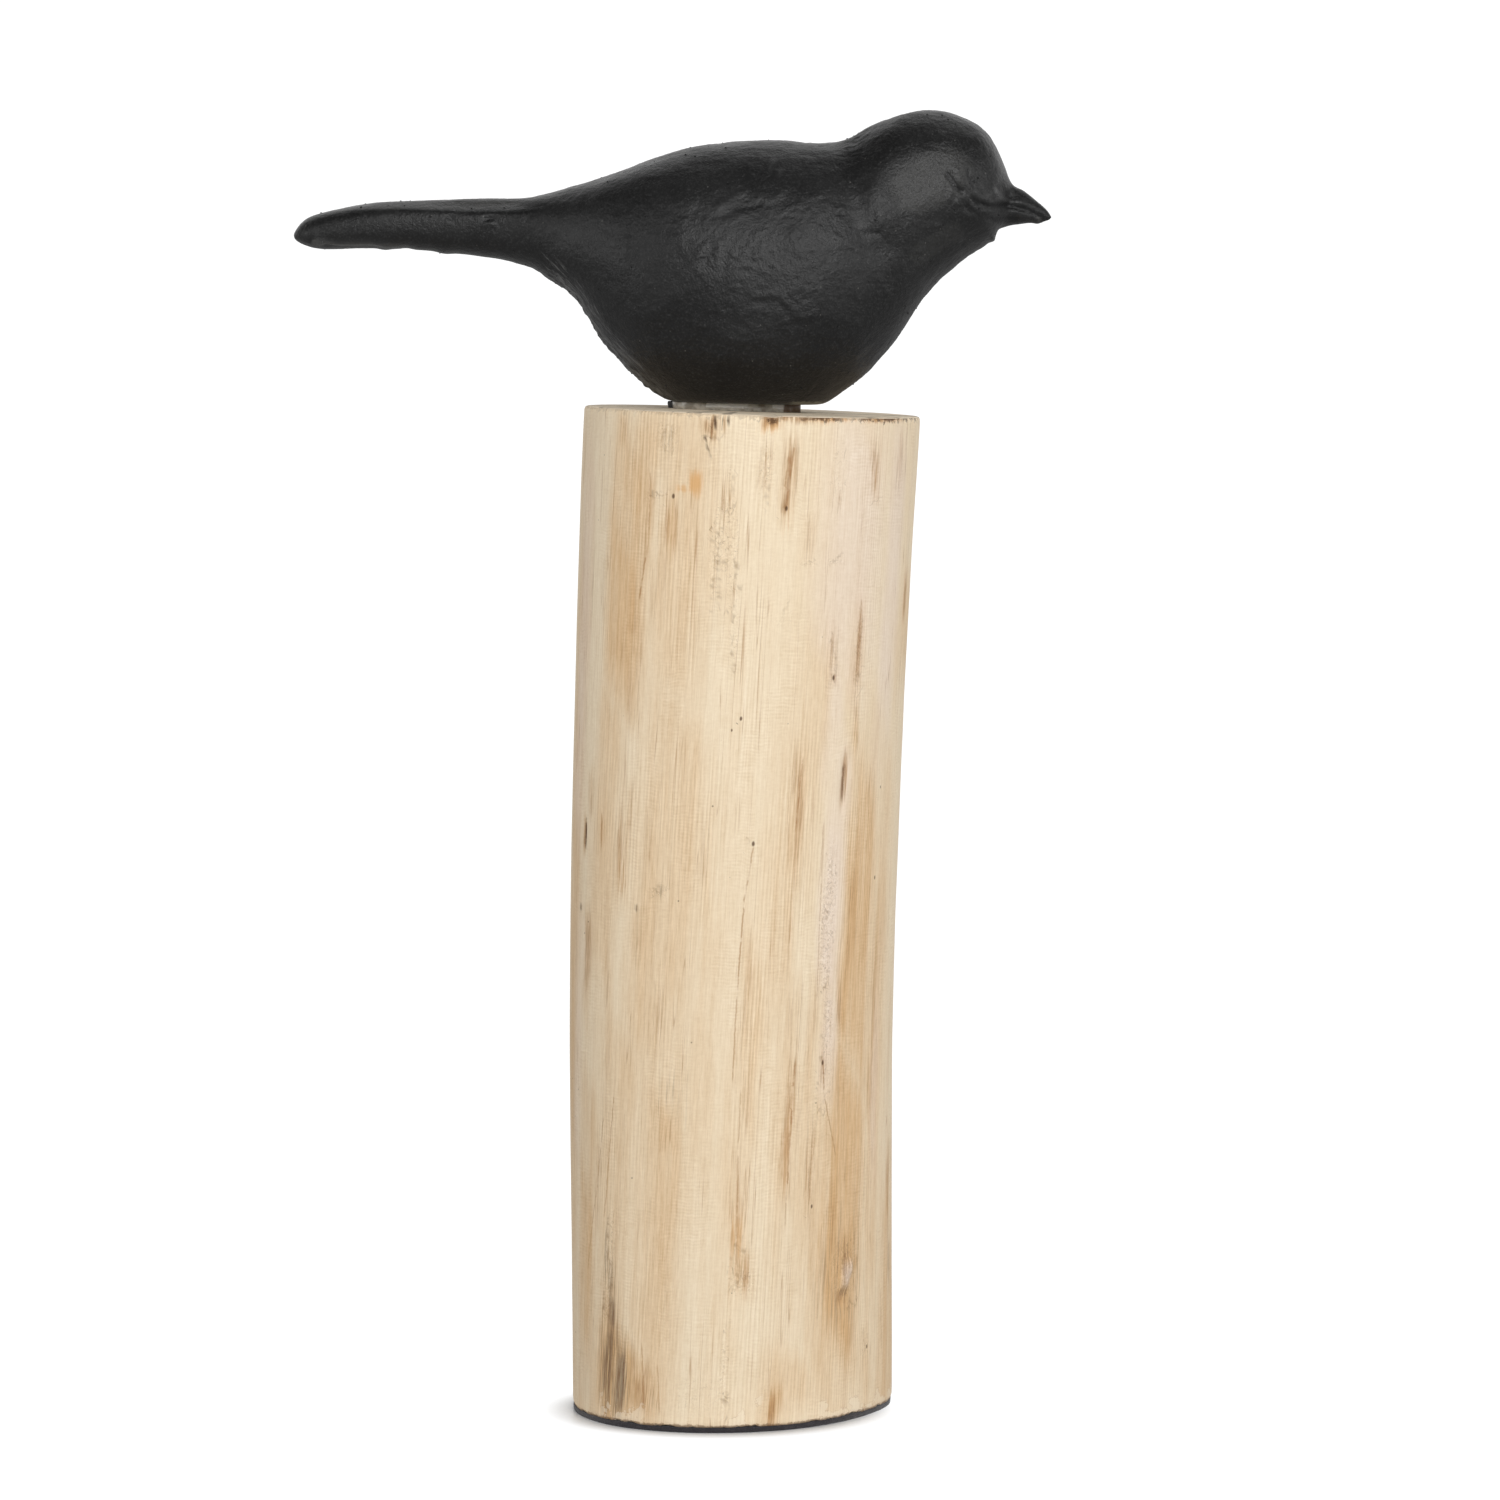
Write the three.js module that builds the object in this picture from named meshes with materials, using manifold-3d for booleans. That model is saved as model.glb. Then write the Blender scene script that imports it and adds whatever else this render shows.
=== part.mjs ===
// A black songbird standing on a peeled length of log, with a soft pad under the log.
// Millimetres, +Z up. The origin is the middle of the pad's underside and the bird faces +X.
import * as THREE from 'three';
import { mergeVertices } from 'three/addons/utils/BufferGeometryUtils.js';
import Module from 'manifold-3d';

const wasm = await Module();
wasm.setup();

// Driving dimensions
const pad = { thickness: 1.6, inset: 0.4, segments: 72 };

// Each wave of an outline has its count round the circle, its share of the radius, the turn in degrees that
// moves it round, and on the log the twist in degrees that it makes on the way up.
const log = {
  topHeight: 300.7,        // floor to the middle of the sawn top
  baseRadius: 48.75,
  flare: 2.1,              // how much wider the top end is, on the radius
  flareCurve: 1.5,
  waves: [
    { count: 2, share: 0.062, turn: 106, twist: 0 },
    { count: 3, share: 0.016, turn: 87, twist: 57 },
    { count: 5, share: 0.004, turn: 75, twist: 57 },
  ],
  bowStart: 102,           // height where the trunk begins to lean
  bowReach: 7.1,           // how far the top has moved towards +X
  bowCurve: 1.6,
  topSlope: -2.07,         // degrees; the sawn top falls towards the beak
  topSlopeFrom: 0.8,       // share of the height above which the rings follow that slope
  rings: 14,
  segments: 56,
};
const bird = {
  soleMiddle: 3.9,         // X of the middle of the flat sole
  soleHeight: 303.1,       // floor to the middle of the sole
  soleSlope: -1.4,         // degrees; the sole falls towards the beak
  sawBlock: 120,           // side of the block that is cut away under the sole
  rings: 76,
  segments: 36,
};
const glue = {
  middle: 0.4,             // X of the middle of the pad of dried glue
  halfLength: 19.4,
  halfWidth: 12.5,
  waves: [
    { count: 3, share: 0.04, turn: 33 },
    { count: 7, share: 0.03, turn: 90 },
  ],
  gap: 0.1,                // left free above and below it
  segments: 40,
};

// Rungs of the bird's side view, from the tail's tip to the beak's. Each joins a point of the back to a
// point of the belly, as [x, z] from the middle of the sole. half is the half-width there, widest the share
// of the way up from the belly at which it is reached, and square how boxy the section is (2 is an ellipse).
// The belly's lowest points lie under the sole, where the carving is sawn flat.
const birdRungs = {
  tail: [
    { back: [-135.2, 49.9], belly: [-135.0, 48.9], half: 3.4, widest: 0.50, square: 2.0 },
    { back: [-132.2, 54.2], belly: [-131.4, 47.0], half: 7.2, widest: 0.40, square: 2.3 },
    { back: [-124.6, 57.2], belly: [-125.4, 45.7], half: 9.8, widest: 0.45, square: 2.6 },
    { back: [-108.0, 60.0], belly: [-110.0, 46.1], half: 11.0, widest: 0.50, square: 2.8 },
    { back: [-79.2, 61.1], belly: [-80.0, 44.1], half: 11.4, widest: 0.52, square: 2.7 },
    { back: [-65.7, 61.6], belly: [-67.4, 41.5], half: 12.8, widest: 0.52, square: 2.5 },
  ],
  body: [
    { back: [-53.0, 64.2], belly: [-58.2, 37.3], half: 16.4, widest: 0.52, square: 2.3 },
    { back: [-40.2, 68.3], belly: [-49.6, 30.7], half: 22.2, widest: 0.52, square: 2.2 },
    { back: [-27.6, 72.9], belly: [-42.4, 19.1], half: 27.2, widest: 0.50, square: 2.1 },
    { back: [-13.8, 76.8], belly: [-32.5, 8.1], half: 31.2, widest: 0.49, square: 2.1 },
    { back: [4.8, 78.6], belly: [-11.2, -5.7], half: 33.2, widest: 0.48, square: 2.1 },
    { back: [19.8, 77.7], belly: [14.0, -5.1], half: 32.8, widest: 0.48, square: 2.1 },
    { back: [29.4, 78.5], belly: [32.2, 5.1], half: 29.8, widest: 0.48, square: 2.1 },
  ],
  head: [
    { back: [38.6, 83.3], belly: [45.0, 18.3], half: 26.0, widest: 0.50, square: 2.1 },
    { back: [50.4, 87.1], belly: [55.2, 33.2], half: 23.0, widest: 0.52, square: 2.1 },
    { back: [58.8, 87.3], belly: [61.8, 39.7], half: 21.6, widest: 0.50, square: 2.1 },
    { back: [65.4, 85.4], belly: [67.8, 44.5], half: 19.6, widest: 0.48, square: 2.1 },
    { back: [70.8, 82.3], belly: [72.0, 46.9], half: 16.8, widest: 0.46, square: 2.1 },
    { back: [75.0, 76.9], belly: [75.0, 49.7], half: 13.2, widest: 0.44, square: 2.0 },
  ],
  beak: [
    { back: [78.0, 70.5], belly: [77.0, 51.9], half: 8.8, widest: 0.42, square: 2.0 },
    { back: [80.2, 65.2], belly: [79.0, 52.8], half: 5.6, widest: 0.42, square: 2.0 },
    { back: [84.0, 62.6], belly: [83.0, 53.4], half: 4.4, widest: 0.42, square: 2.0 },
    { back: [91.0, 56.8], belly: [90.8, 54.3], half: 1.8, widest: 0.42, square: 2.0 },
    { back: [92.1, 55.8], belly: [92.0, 55.0], half: 0.7, widest: 0.50, square: 2.0 },
  ],
};

const material = (color, roughness) => new THREE.MeshStandardMaterial({ color, roughness, metalness: 0 });
const peeledWood = material(0xdcc6a4, 0.75);
const blackPaint = material(0x262626, 0.5);
const driedGlue = material(0x8d8880, 0.4);
const blackFelt = material(0x2b292c, 0.95);

// A closed solid through a list of rings with the same number of points, with a fan over each end.
// Each ring runs anticlockwise seen from the far end of the list.
function loft(rings) {
  const count = rings[0].length;
  const position = [];
  const index = [];
  for (const ring of rings) {
    for (const p of ring) position.push(p.x, p.y, p.z);
  }
  for (let r = 0; r < rings.length - 1; r++) {
    for (let s = 0; s < count; s++) {
      const a = r * count + s;
      const b = r * count + ((s + 1) % count);
      index.push(a, b, b + count, a, b + count, a + count);
    }
  }
  const addFan = (ring, first, facesStart) => {
    const middle = ring.reduce((sum, p) => sum.add(p), new THREE.Vector3()).divideScalar(count);
    const hub = position.length / 3;
    position.push(middle.x, middle.y, middle.z);
    for (let s = 0; s < count; s++) {
      const a = first + s;
      const b = first + ((s + 1) % count);
      index.push(...(facesStart ? [hub, b, a] : [hub, a, b]));
    }
  };
  addFan(rings[0], 0, true);
  addFan(rings.at(-1), (rings.length - 1) * count, false);
  const geometry = new THREE.BufferGeometry();
  geometry.setAttribute('position', new THREE.Float32BufferAttribute(position, 3));
  geometry.setIndex(index);
  geometry.computeVertexNormals();
  return geometry;
}

const radians = THREE.MathUtils.degToRad;

// Height of the log's sawn top above the floor, at a place along X.
const sawnTop = (x) => log.topHeight + Math.tan(radians(log.topSlope)) * (x - log.bowReach);

// How far a wavy outline stands out at an angle, where 1 is the plain circle.
function wavy(waves, angle, risen = 0) {
  const swell = ({ count, share, turn, twist = 0 }) =>
    share * Math.cos(count * angle - radians(turn) - radians(twist) * risen);
  return waves.reduce((sum, wave) => sum + swell(wave), 1);
}

// One point of the log's side: share is how far up the log it is, angle runs round it from +X.
function logPoint(share, angle, inset = 0) {
  const height = pad.thickness + share * (log.topHeight - pad.thickness);
  const leaning = Math.max(0, height - log.bowStart) / (log.topHeight - log.bowStart);
  const middle = log.bowReach * leaning ** log.bowCurve;
  const plain = log.baseRadius + log.flare * share ** log.flareCurve;
  const radius = plain * wavy(log.waves, angle, share) - inset;
  const x = middle + radius * Math.cos(angle);
  const follow = THREE.MathUtils.smoothstep(share, log.topSlopeFrom, 1);
  return new THREE.Vector3(x, radius * Math.sin(angle), height + follow * (sawnTop(x) - log.topHeight));
}

function makeLog() {
  const rings = [];
  for (let r = 0; r <= log.rings; r++) {
    const ring = [];
    for (let s = 0; s < log.segments; s++) {
      ring.push(logPoint(r / log.rings, (2 * Math.PI * s) / log.segments));
    }
    rings.push(ring);
  }
  return loft(rings);
}

// The pad under the log: the log's own base outline, a little inside it.
function makePad() {
  const outline = new THREE.Shape();
  for (let s = 0; s < pad.segments; s++) {
    const p = logPoint(0, (2 * Math.PI * s) / pad.segments, pad.inset);
    if (s === 0) outline.moveTo(p.x, p.y);
    else outline.lineTo(p.x, p.y);
  }
  outline.closePath();
  return new THREE.ExtrudeGeometry(outline, { depth: pad.thickness, bevelEnabled: false });
}

// Height of the bird's sole above the floor, at a place along X.
const soleAt = (x) => bird.soleHeight + Math.tan(radians(bird.soleSlope)) * (x - bird.soleMiddle);

// The wedge of dried glue between the sawn top and the bird's sole.
function makeGlue() {
  const lower = [];
  const upper = [];
  for (let s = 0; s < glue.segments; s++) {
    const angle = (2 * Math.PI * s) / glue.segments;
    const spread = wavy(glue.waves, angle);
    const x = glue.middle + glue.halfLength * Math.cos(angle) * spread;
    const y = glue.halfWidth * Math.sin(angle) * spread;
    lower.push(new THREE.Vector3(x, y, sawnTop(x) + glue.gap));
    upper.push(new THREE.Vector3(x, y, soleAt(x) - glue.gap));
  }
  return loft([lower, upper]);
}

// The curves that run through the rungs, from tail to beak.
const curveThrough = (pick) => new THREE.CatmullRomCurve3(Object.values(birdRungs).flat().map(pick));
const backLine = curveThrough(({ back: [x, z] }) => new THREE.Vector3(x, 0, z));
const bellyLine = curveThrough(({ belly: [x, z] }) => new THREE.Vector3(x, 0, z));
const girthLine = curveThrough(({ half, widest, square }) => new THREE.Vector3(half, widest, square));

// A section of the bird: a closed ring round the rung at t, from 0 at the tail to 1 at the beak.
function birdRing(t) {
  const back = backLine.getPoint(t);
  const belly = bellyLine.getPoint(t);
  const { x: half, y: widest, z: square } = girthLine.getPoint(t);
  const middle = belly.clone().lerp(back, widest);
  const ring = [];
  for (let s = 0; s < bird.segments; s++) {
    const angle = (2 * Math.PI * s) / bird.segments;
    const up = Math.cos(angle);
    const out = Math.sin(angle);
    const edge = up > 0 ? back : belly;
    const p = middle.clone().lerp(edge, Math.abs(up) ** (2 / square));
    p.y = -half * Math.sign(out) * Math.abs(out) ** (2 / square);
    ring.push(p);
  }
  return ring;
}

// A geometry as a solid that can be joined or cut, and back again.
function toSolid(geometry) {
  const bare = geometry.clone();
  bare.deleteAttribute('normal');
  bare.deleteAttribute('uv');
  const merged = mergeVertices(bare, 1e-4);
  return new wasm.Manifold(
    new wasm.Mesh({
      numProp: 3,
      vertProperties: new Float32Array(merged.attributes.position.array),
      triVerts: new Uint32Array(merged.index.array),
    }),
  );
}

function toGeometry(solid) {
  const mesh = solid.getMesh();
  const geometry = new THREE.BufferGeometry();
  geometry.setAttribute('position', new THREE.BufferAttribute(mesh.vertProperties, 3));
  geometry.setIndex(new THREE.BufferAttribute(mesh.triVerts, 1));
  geometry.computeVertexNormals();
  return geometry;
}

// The whole bird is one carving, sawn flat below where it stands.
function makeBird() {
  const rings = [];
  for (let r = 0; r <= bird.rings; r++) rings.push(birdRing(r / bird.rings));
  const below = new THREE.BoxGeometry(bird.sawBlock, bird.sawBlock, bird.sawBlock);
  below.translate(0, 0, -bird.sawBlock / 2);
  below.rotateY(-radians(bird.soleSlope));
  return toGeometry(toSolid(loft(rings)).subtract(toSolid(below)));
}

function named(name, geometry, finish) {
  const mesh = new THREE.Mesh(geometry, finish);
  mesh.name = name;
  return mesh;
}

const sculpture = new THREE.Group();
const birdMesh = named('bird', makeBird(), blackPaint);
birdMesh.position.set(bird.soleMiddle, 0, bird.soleHeight);
sculpture.add(
  named('base_pad', makePad(), blackFelt),
  named('log', makeLog(), peeledWood),
  named('glue_pad', makeGlue(), driedGlue),
  birdMesh,
);

export default sculpture;
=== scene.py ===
# A black songbird carved from wood, standing on a peeled length of log.
# Sizes in the dictionaries are millimetres and degrees unless a note says otherwise.
import math
from types import SimpleNamespace
import bmesh
import bpy
import numpy as np
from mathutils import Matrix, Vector
from mathutils.bvhtree import BVHTree


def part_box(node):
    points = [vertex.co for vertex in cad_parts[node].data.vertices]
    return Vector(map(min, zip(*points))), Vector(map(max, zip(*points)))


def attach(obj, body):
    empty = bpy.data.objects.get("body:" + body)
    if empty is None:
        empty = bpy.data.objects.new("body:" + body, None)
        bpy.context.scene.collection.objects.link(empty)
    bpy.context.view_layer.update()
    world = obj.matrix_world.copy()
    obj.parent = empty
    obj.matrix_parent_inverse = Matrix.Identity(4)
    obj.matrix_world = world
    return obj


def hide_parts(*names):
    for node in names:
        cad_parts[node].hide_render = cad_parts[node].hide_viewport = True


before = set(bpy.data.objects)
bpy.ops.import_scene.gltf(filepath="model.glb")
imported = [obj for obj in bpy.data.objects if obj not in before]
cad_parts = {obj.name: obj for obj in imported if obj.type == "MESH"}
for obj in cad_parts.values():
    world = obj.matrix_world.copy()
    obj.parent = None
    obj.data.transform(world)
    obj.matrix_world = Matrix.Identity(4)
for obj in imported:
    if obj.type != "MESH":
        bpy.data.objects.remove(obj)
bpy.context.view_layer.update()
mm = 0.001
print("frame loaded")


# Node helpers

class Wire:
    # One output socket, which Python's operators join to numbers and other wires.
    def __init__(self, board, socket):
        self.board = board
        self.socket = socket

    def math(self, operation, *others, clamp=False):
        inputs = dict(enumerate((self, *others)))
        return self.board.put("ShaderNodeMath", {"operation": operation, "use_clamp": clamp}, inputs)

    def __add__(self, other):
        return self.math("ADD", other)

    def __sub__(self, other):
        return self.math("SUBTRACT", other)

    def __mul__(self, other):
        return self.math("MULTIPLY", other)

    def __truediv__(self, other):
        return self.math("DIVIDE", other)

    def __pow__(self, other):
        return self.math("POWER", other)

    def __radd__(self, other):
        return self.math("ADD", other)

    def __rmul__(self, other):
        return self.math("MULTIPLY", other)

    def __rsub__(self, other):
        return self.board.put("ShaderNodeMath", {"operation": "SUBTRACT"}, {0: other, 1: self})

    def __neg__(self):
        return self * -1

    def least(self, other):
        return self.math("MINIMUM", other)

    def most(self, other):
        return self.math("MAXIMUM", other)

    def size(self):
        return self.math("ABSOLUTE")

    def fade(self, start, end, low=0.0, high=1.0):
        # low up to start, high from end on, and a smooth change between
        inputs = {"Value": self, "From Min": start, "From Max": end, "To Min": low, "To Max": high}
        return self.board.put("ShaderNodeMapRange", {"interpolation_type": "SMOOTHSTEP"}, inputs)

    def veins(self, width):
        # thin lines where a noise passes its middle
        return (self - 0.5).size().fade(0.0, width, 1.0, 0.0)

    def vector(self, operation, other=None, scale=None):
        inputs = {0: self}
        if other is not None:
            inputs[1] = other
        if scale is not None:
            inputs["Scale"] = scale
        out = "Value" if operation in ("LENGTH", "DOT_PRODUCT") else "Vector"
        return self.board.put("ShaderNodeVectorMath", {"operation": operation}, inputs, out)

    def part(self, name):
        return self.board.put("ShaderNodeSeparateXYZ", {}, {0: self}, name)

    def beside(self, output):
        # another output of the same node
        return Wire(self.board, findSocket(self.socket.node.outputs, output))


def findSocket(sockets, key):
    if isinstance(key, int):
        return sockets[key]
    for socket in sockets:
        if socket.identifier == key:
            return socket
    return sockets[key]


class Board:
    # A node tree, and the one way in which nodes are added to it.
    def __init__(self, tree):
        self.tree = tree

    def put(self, kind, settings=None, inputs=None, output=0):
        node = self.tree.nodes.new(kind)
        for name, value in (settings or {}).items():
            setattr(node, name, value)
        for key, value in (inputs or {}).items():
            socket = findSocket(node.inputs, key)
            if isinstance(value, Wire):
                self.tree.links.new(value.socket, socket)
            elif isinstance(value, list):
                for wire in value:
                    self.tree.links.new(wire.socket, socket)
            else:
                socket.default_value = value
        if output is None:
            return node
        return Wire(self, findSocket(node.outputs, output))

    def noise(self, place, scale, detail=2.0, roughness=0.5, stretch=None):
        # fractal noise about 0.5, where scale is the number of lumps in a millimetre
        if stretch:
            place = place.vector("MULTIPLY", stretch)
        inputs = {"Vector": place, "Scale": scale, "Detail": detail, "Roughness": roughness}
        return self.put("ShaderNodeTexNoise", {}, inputs)

    def specks(self, place, scale, reach, rare, strength=1.0):
        # round specks in some of a cell pattern's cells, where rare says which share stays bare
        inputs = {"Vector": place, "Scale": scale}
        cells = self.put("ShaderNodeTexVoronoi", {"feature": "F1"}, inputs, "Distance")
        chosen = cells.beside("Color").vector("DOT_PRODUCT", (1, 0, 0))
        return cells.fade(*reach, strength, 0.0) * chosen.fade(*rare)

    def join(self, x, y, z):
        return self.put("ShaderNodeCombineXYZ", {}, {0: x, 1: y, 2: z})

    def blend(self, factor, first, second, mode="MIX"):
        settings = {"data_type": "RGBA", "blend_type": mode, "clamp_factor": True}
        inputs = {"Factor_Float": factor, "A_Color": first, "B_Color": second}
        return self.put("ShaderNodeMix", settings, inputs, "Result_Color")

    def stored(self, name, output="Vector"):
        # what the mesh carries under a name
        return self.put("ShaderNodeAttribute", {"attribute_name": name}, {}, output)

    def placeInMm(self):
        return self.put("ShaderNodeTexCoord", {}, {}, "Object").vector("SCALE", scale=1 / mm)


def newMaterial(name):
    material = bpy.data.materials.new(name)
    material.use_nodes = True
    material.node_tree.nodes.clear()
    return material, Board(material.node_tree)


def finishMaterial(board, inputs, bumps):
    # Each bump is (height wire, strength, distance in millimetres), from the coarsest to the finest.
    normal = None
    for height, strength, distance in bumps:
        bump = {"Height": height, "Strength": strength, "Distance": distance * mm}
        if normal:
            bump["Normal"] = normal
        normal = board.put("ShaderNodeBump", {}, bump)
    surface = board.put("ShaderNodeBsdfPrincipled", {}, {**inputs, "Normal": normal})
    board.put("ShaderNodeOutputMaterial", {}, {"Surface": surface}, None)


def colour(red, green, blue):
    # a colour as a paint chart gives it, from 0 to 255, for a shader
    parts = [part / 255 for part in (red, green, blue)]
    linear = [part / 12.92 if part <= 0.04045 else ((part + 0.055) / 1.055) ** 2.4 for part in parts]
    return (*linear, 1.0)


# Mesh helpers

def mergedCopy(node):
    # the CAD node's shape with its doubled corners merged; the node itself stays as it is
    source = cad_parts[node]
    mesh = source.data.copy()
    mesh.transform(source.matrix_world)
    shape = bmesh.new()
    shape.from_mesh(mesh)
    bmesh.ops.remove_doubles(shape, verts=shape.verts, dist=0.01 * mm)
    shape.to_mesh(mesh)
    shape.free()
    mesh.materials.clear()
    return mesh


def skinOf(node):
    # the CAD node's skin, for rays to meet
    mesh = mergedCopy(node)
    shape = bmesh.new()
    shape.from_mesh(mesh)
    skin = BVHTree.FromBMesh(shape)
    shape.free()
    bpy.data.meshes.remove(mesh)
    return skin


def levelOf(node, fromAbove, reach):
    # a CAD node's top or underside as a straight line along X: its height at the axis, and its slope
    skin = skinOf(node)
    low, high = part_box(node)
    room = 50 * mm
    start, rise = (high.z + room, -1) if fromAbove else (low.z - room, 1)
    way = Vector((0, 0, rise))
    back, front = (skin.ray_cast(Vector((side * reach, 0, start)), way)[0].z for side in (-1, 1))
    return (back + front) / 2, (front - back) / (2 * reach)


def rimOf(node, count):
    # the rim of a low CAD node halfway up, found by looking outwards from its middle
    skin = skinOf(node)
    low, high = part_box(node)
    middle = Vector(((low.x + high.x) / 2, (low.y + high.y) / 2, (low.z + high.z) / 2))
    rim = []
    for step in range(count):
        turn = 2 * math.pi * step / count
        hit = skin.ray_cast(middle, Vector((math.cos(turn), math.sin(turn), 0)))[0]
        rim.append((hit.x, hit.y))
    return rim


def newPiece(name, mesh):
    piece = bpy.data.objects.new(name, mesh)
    bpy.context.scene.collection.objects.link(piece)
    return piece


def addModifierTree(piece, tree, values):
    # Inputs are set by the sockets' identifiers before the piece is evaluated for the first time.
    modifier = piece.modifiers.new(tree.name, "NODES")
    modifier.node_group = tree
    for socket in tree.interface.items_tree:
        if socket.item_type == "SOCKET" and socket.in_out == "INPUT" and socket.name in values:
            modifier[socket.identifier] = values[socket.name]


def settle(piece):
    # what the modifiers make becomes the piece's plain mesh
    bpy.context.view_layer.update()
    evaluated = piece.evaluated_get(bpy.context.evaluated_depsgraph_get())
    mesh = bpy.data.meshes.new_from_object(evaluated)
    old = piece.data
    piece.modifiers.clear()
    piece.data = mesh
    mesh.name = piece.name
    if old.users == 0:
        bpy.data.meshes.remove(old)
    smoothFaces(mesh)


def smoothFaces(mesh):
    mesh.polygons.foreach_set("use_smooth", np.ones(len(mesh.polygons), dtype=bool))
    mesh.update()


def pointsOf(mesh):
    flat = np.empty(len(mesh.vertices) * 3)
    mesh.vertices.foreach_get("co", flat)
    return flat.reshape(-1, 3)


def normalsOf(mesh):
    flat = np.empty(len(mesh.vertices) * 3)
    mesh.vertex_normals.foreach_get("vector", flat)
    return flat.reshape(-1, 3)


def movePoints(mesh, points):
    mesh.vertices.foreach_set("co", points.astype(np.float32).ravel())
    mesh.update()


def storeVectors(mesh, name, rows):
    layer = mesh.attributes.new(name, "FLOAT_VECTOR", "POINT")
    layer.data.foreach_set("vector", rows.astype(np.float32).ravel())


def smoothstep(low, high, value):
    part = np.clip((value - low) / (high - low), 0, 1)
    return part * part * (3 - 2 * part)


def newTree(name, sockets):
    # A geometry tree: sockets are (name, socket type, default), and the maker reads them by name.
    tree = bpy.data.node_groups.new(name, "GeometryNodeTree")
    tree.interface.new_socket("Geometry", in_out="OUTPUT", socket_type="NodeSocketGeometry")
    tree.interface.new_socket("Geometry", in_out="INPUT", socket_type="NodeSocketGeometry")
    for label, kind, value in sockets:
        socket = tree.interface.new_socket(label, in_out="INPUT", socket_type="NodeSocket" + kind)
        if value is not None:
            socket.default_value = value
    board = Board(tree)
    entry = board.put("NodeGroupInput", {}, {}, None)
    inputs = {socket.name: Wire(board, socket) for socket in entry.outputs if socket.name}
    return tree, board, inputs


def endTree(board, geometry, material):
    geometry = board.put("GeometryNodeRealizeInstances", {}, {"Geometry": geometry})
    geometry = board.put("GeometryNodeSetMaterial", {}, {"Geometry": geometry, "Material": material})
    board.put("NodeGroupOutput", {}, {"Geometry": geometry}, None)


# Camera, light and floor

studio = {
    "cameraAcross": 5.7, "cameraBack": 2025.0, "cameraHeight": 344.6,
    "pitchDown": 4.118,
    "lens": 162.0, "sensor": 36.0, "sight": 100000.0,
    "floorRadius": 9000.0, "floorSides": 96,
    "floorColour": (232, 232, 232), "floorRoughness": 0.35,
    "floorGlow": (42.0, 56.0),   # the floor fades into the white backdrop between these distances
    "shadowOffset": (-4.0, -7.0),   # where the middle of the shadow that is left lies
    "backdropStrength": 1.1,     # what the camera sees behind the object
    "floorReturn": 0.4,          # how much of that light the floor throws back on the object
    "roomStrength": 0.34,        # what the room lends from the front and the sides
    "ceilingStrength": 0.12,
    "ceilingSpan": (0.3, 0.8),   # from where to where the room becomes ceiling, as a share of straight up
    "wallStrength": 1.1,         # the white wall behind, which gives the dark paint its light rim
    "wallSpan": (0.4, 0.85),     # from where to where it becomes wall, as a share of straight back
    # each soft light: its bearing to the right of the camera, its height above the horizon, how far off
    # and how wide it is, and its power in watts
    "lights": {
        "keySoftbox": {"bearing": 14, "rise": 24, "away": 2200, "size": (1200, 1200), "power": 29},
        "leftSoftbox": {"bearing": -60, "rise": 12, "away": 2300, "size": (900, 1400), "power": 13},
        "rightSoftbox": {"bearing": 72, "rise": 10, "away": 2300, "size": (900, 1400), "power": 12.5},
        "topSoftbox": {"bearing": 150, "rise": 62, "away": 2000, "size": (1200, 900), "power": 3.0},
    },
    "aim": (0, 0, 250),
}


def makeCamera():
    data = bpy.data.cameras.new("camera")
    data.lens = studio["lens"]
    data.sensor_width = studio["sensor"]
    data.clip_end = studio["sight"] * mm
    camera = bpy.data.objects.new("camera", data)
    place = (studio["cameraAcross"], -studio["cameraBack"], studio["cameraHeight"])
    camera.location = Vector(place) * mm
    camera.rotation_euler = (math.radians(90 - studio["pitchDown"]), 0, 0)
    bpy.context.scene.collection.objects.link(camera)
    bpy.context.scene.camera = camera


def makeLights():
    aim = Vector(studio["aim"])
    for name, light in studio["lights"].items():
        bearing, rise = math.radians(light["bearing"]), math.radians(light["rise"])
        level = Vector((math.sin(bearing), -math.cos(bearing), 0)) * math.cos(rise)
        towards = level + Vector((0, 0, math.sin(rise)))
        data = bpy.data.lights.new(name, "AREA")
        data.shape = "RECTANGLE"
        data.size, data.size_y = (side * mm for side in light["size"])
        data.energy = light["power"]
        lamp = bpy.data.objects.new(name, data)
        lamp.location = (aim + towards * light["away"]) * mm
        lamp.rotation_euler = towards.to_track_quat("Z", "Y").to_euler()
        bpy.context.scene.collection.objects.link(lamp)


def makeRoom():
    # White where the camera looks past the object; a softer white is what lights it.
    world = bpy.data.worlds.new("room")
    world.use_nodes = True
    world.node_tree.nodes.clear()
    board = Board(world.node_tree)
    seen = board.put("ShaderNodeLightPath", {}, {}, "Is Camera Ray")
    way = board.put("ShaderNodeTexCoord", {}, {}, "Generated")
    room = way.part("Z").fade(*studio["ceilingSpan"], studio["roomStrength"], studio["ceilingStrength"])
    lit = room + (studio["wallStrength"] - room) * way.part("Y").fade(*studio["wallSpan"])
    strength = lit + (studio["backdropStrength"] - lit) * seen
    back = board.put("ShaderNodeBackground", {}, {"Color": (1, 1, 1, 1), "Strength": strength})
    board.put("ShaderNodeOutputWorld", {}, {"Surface": back}, None)
    bpy.context.scene.world = world
    bpy.context.scene.view_settings.view_transform = "Standard"


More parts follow.
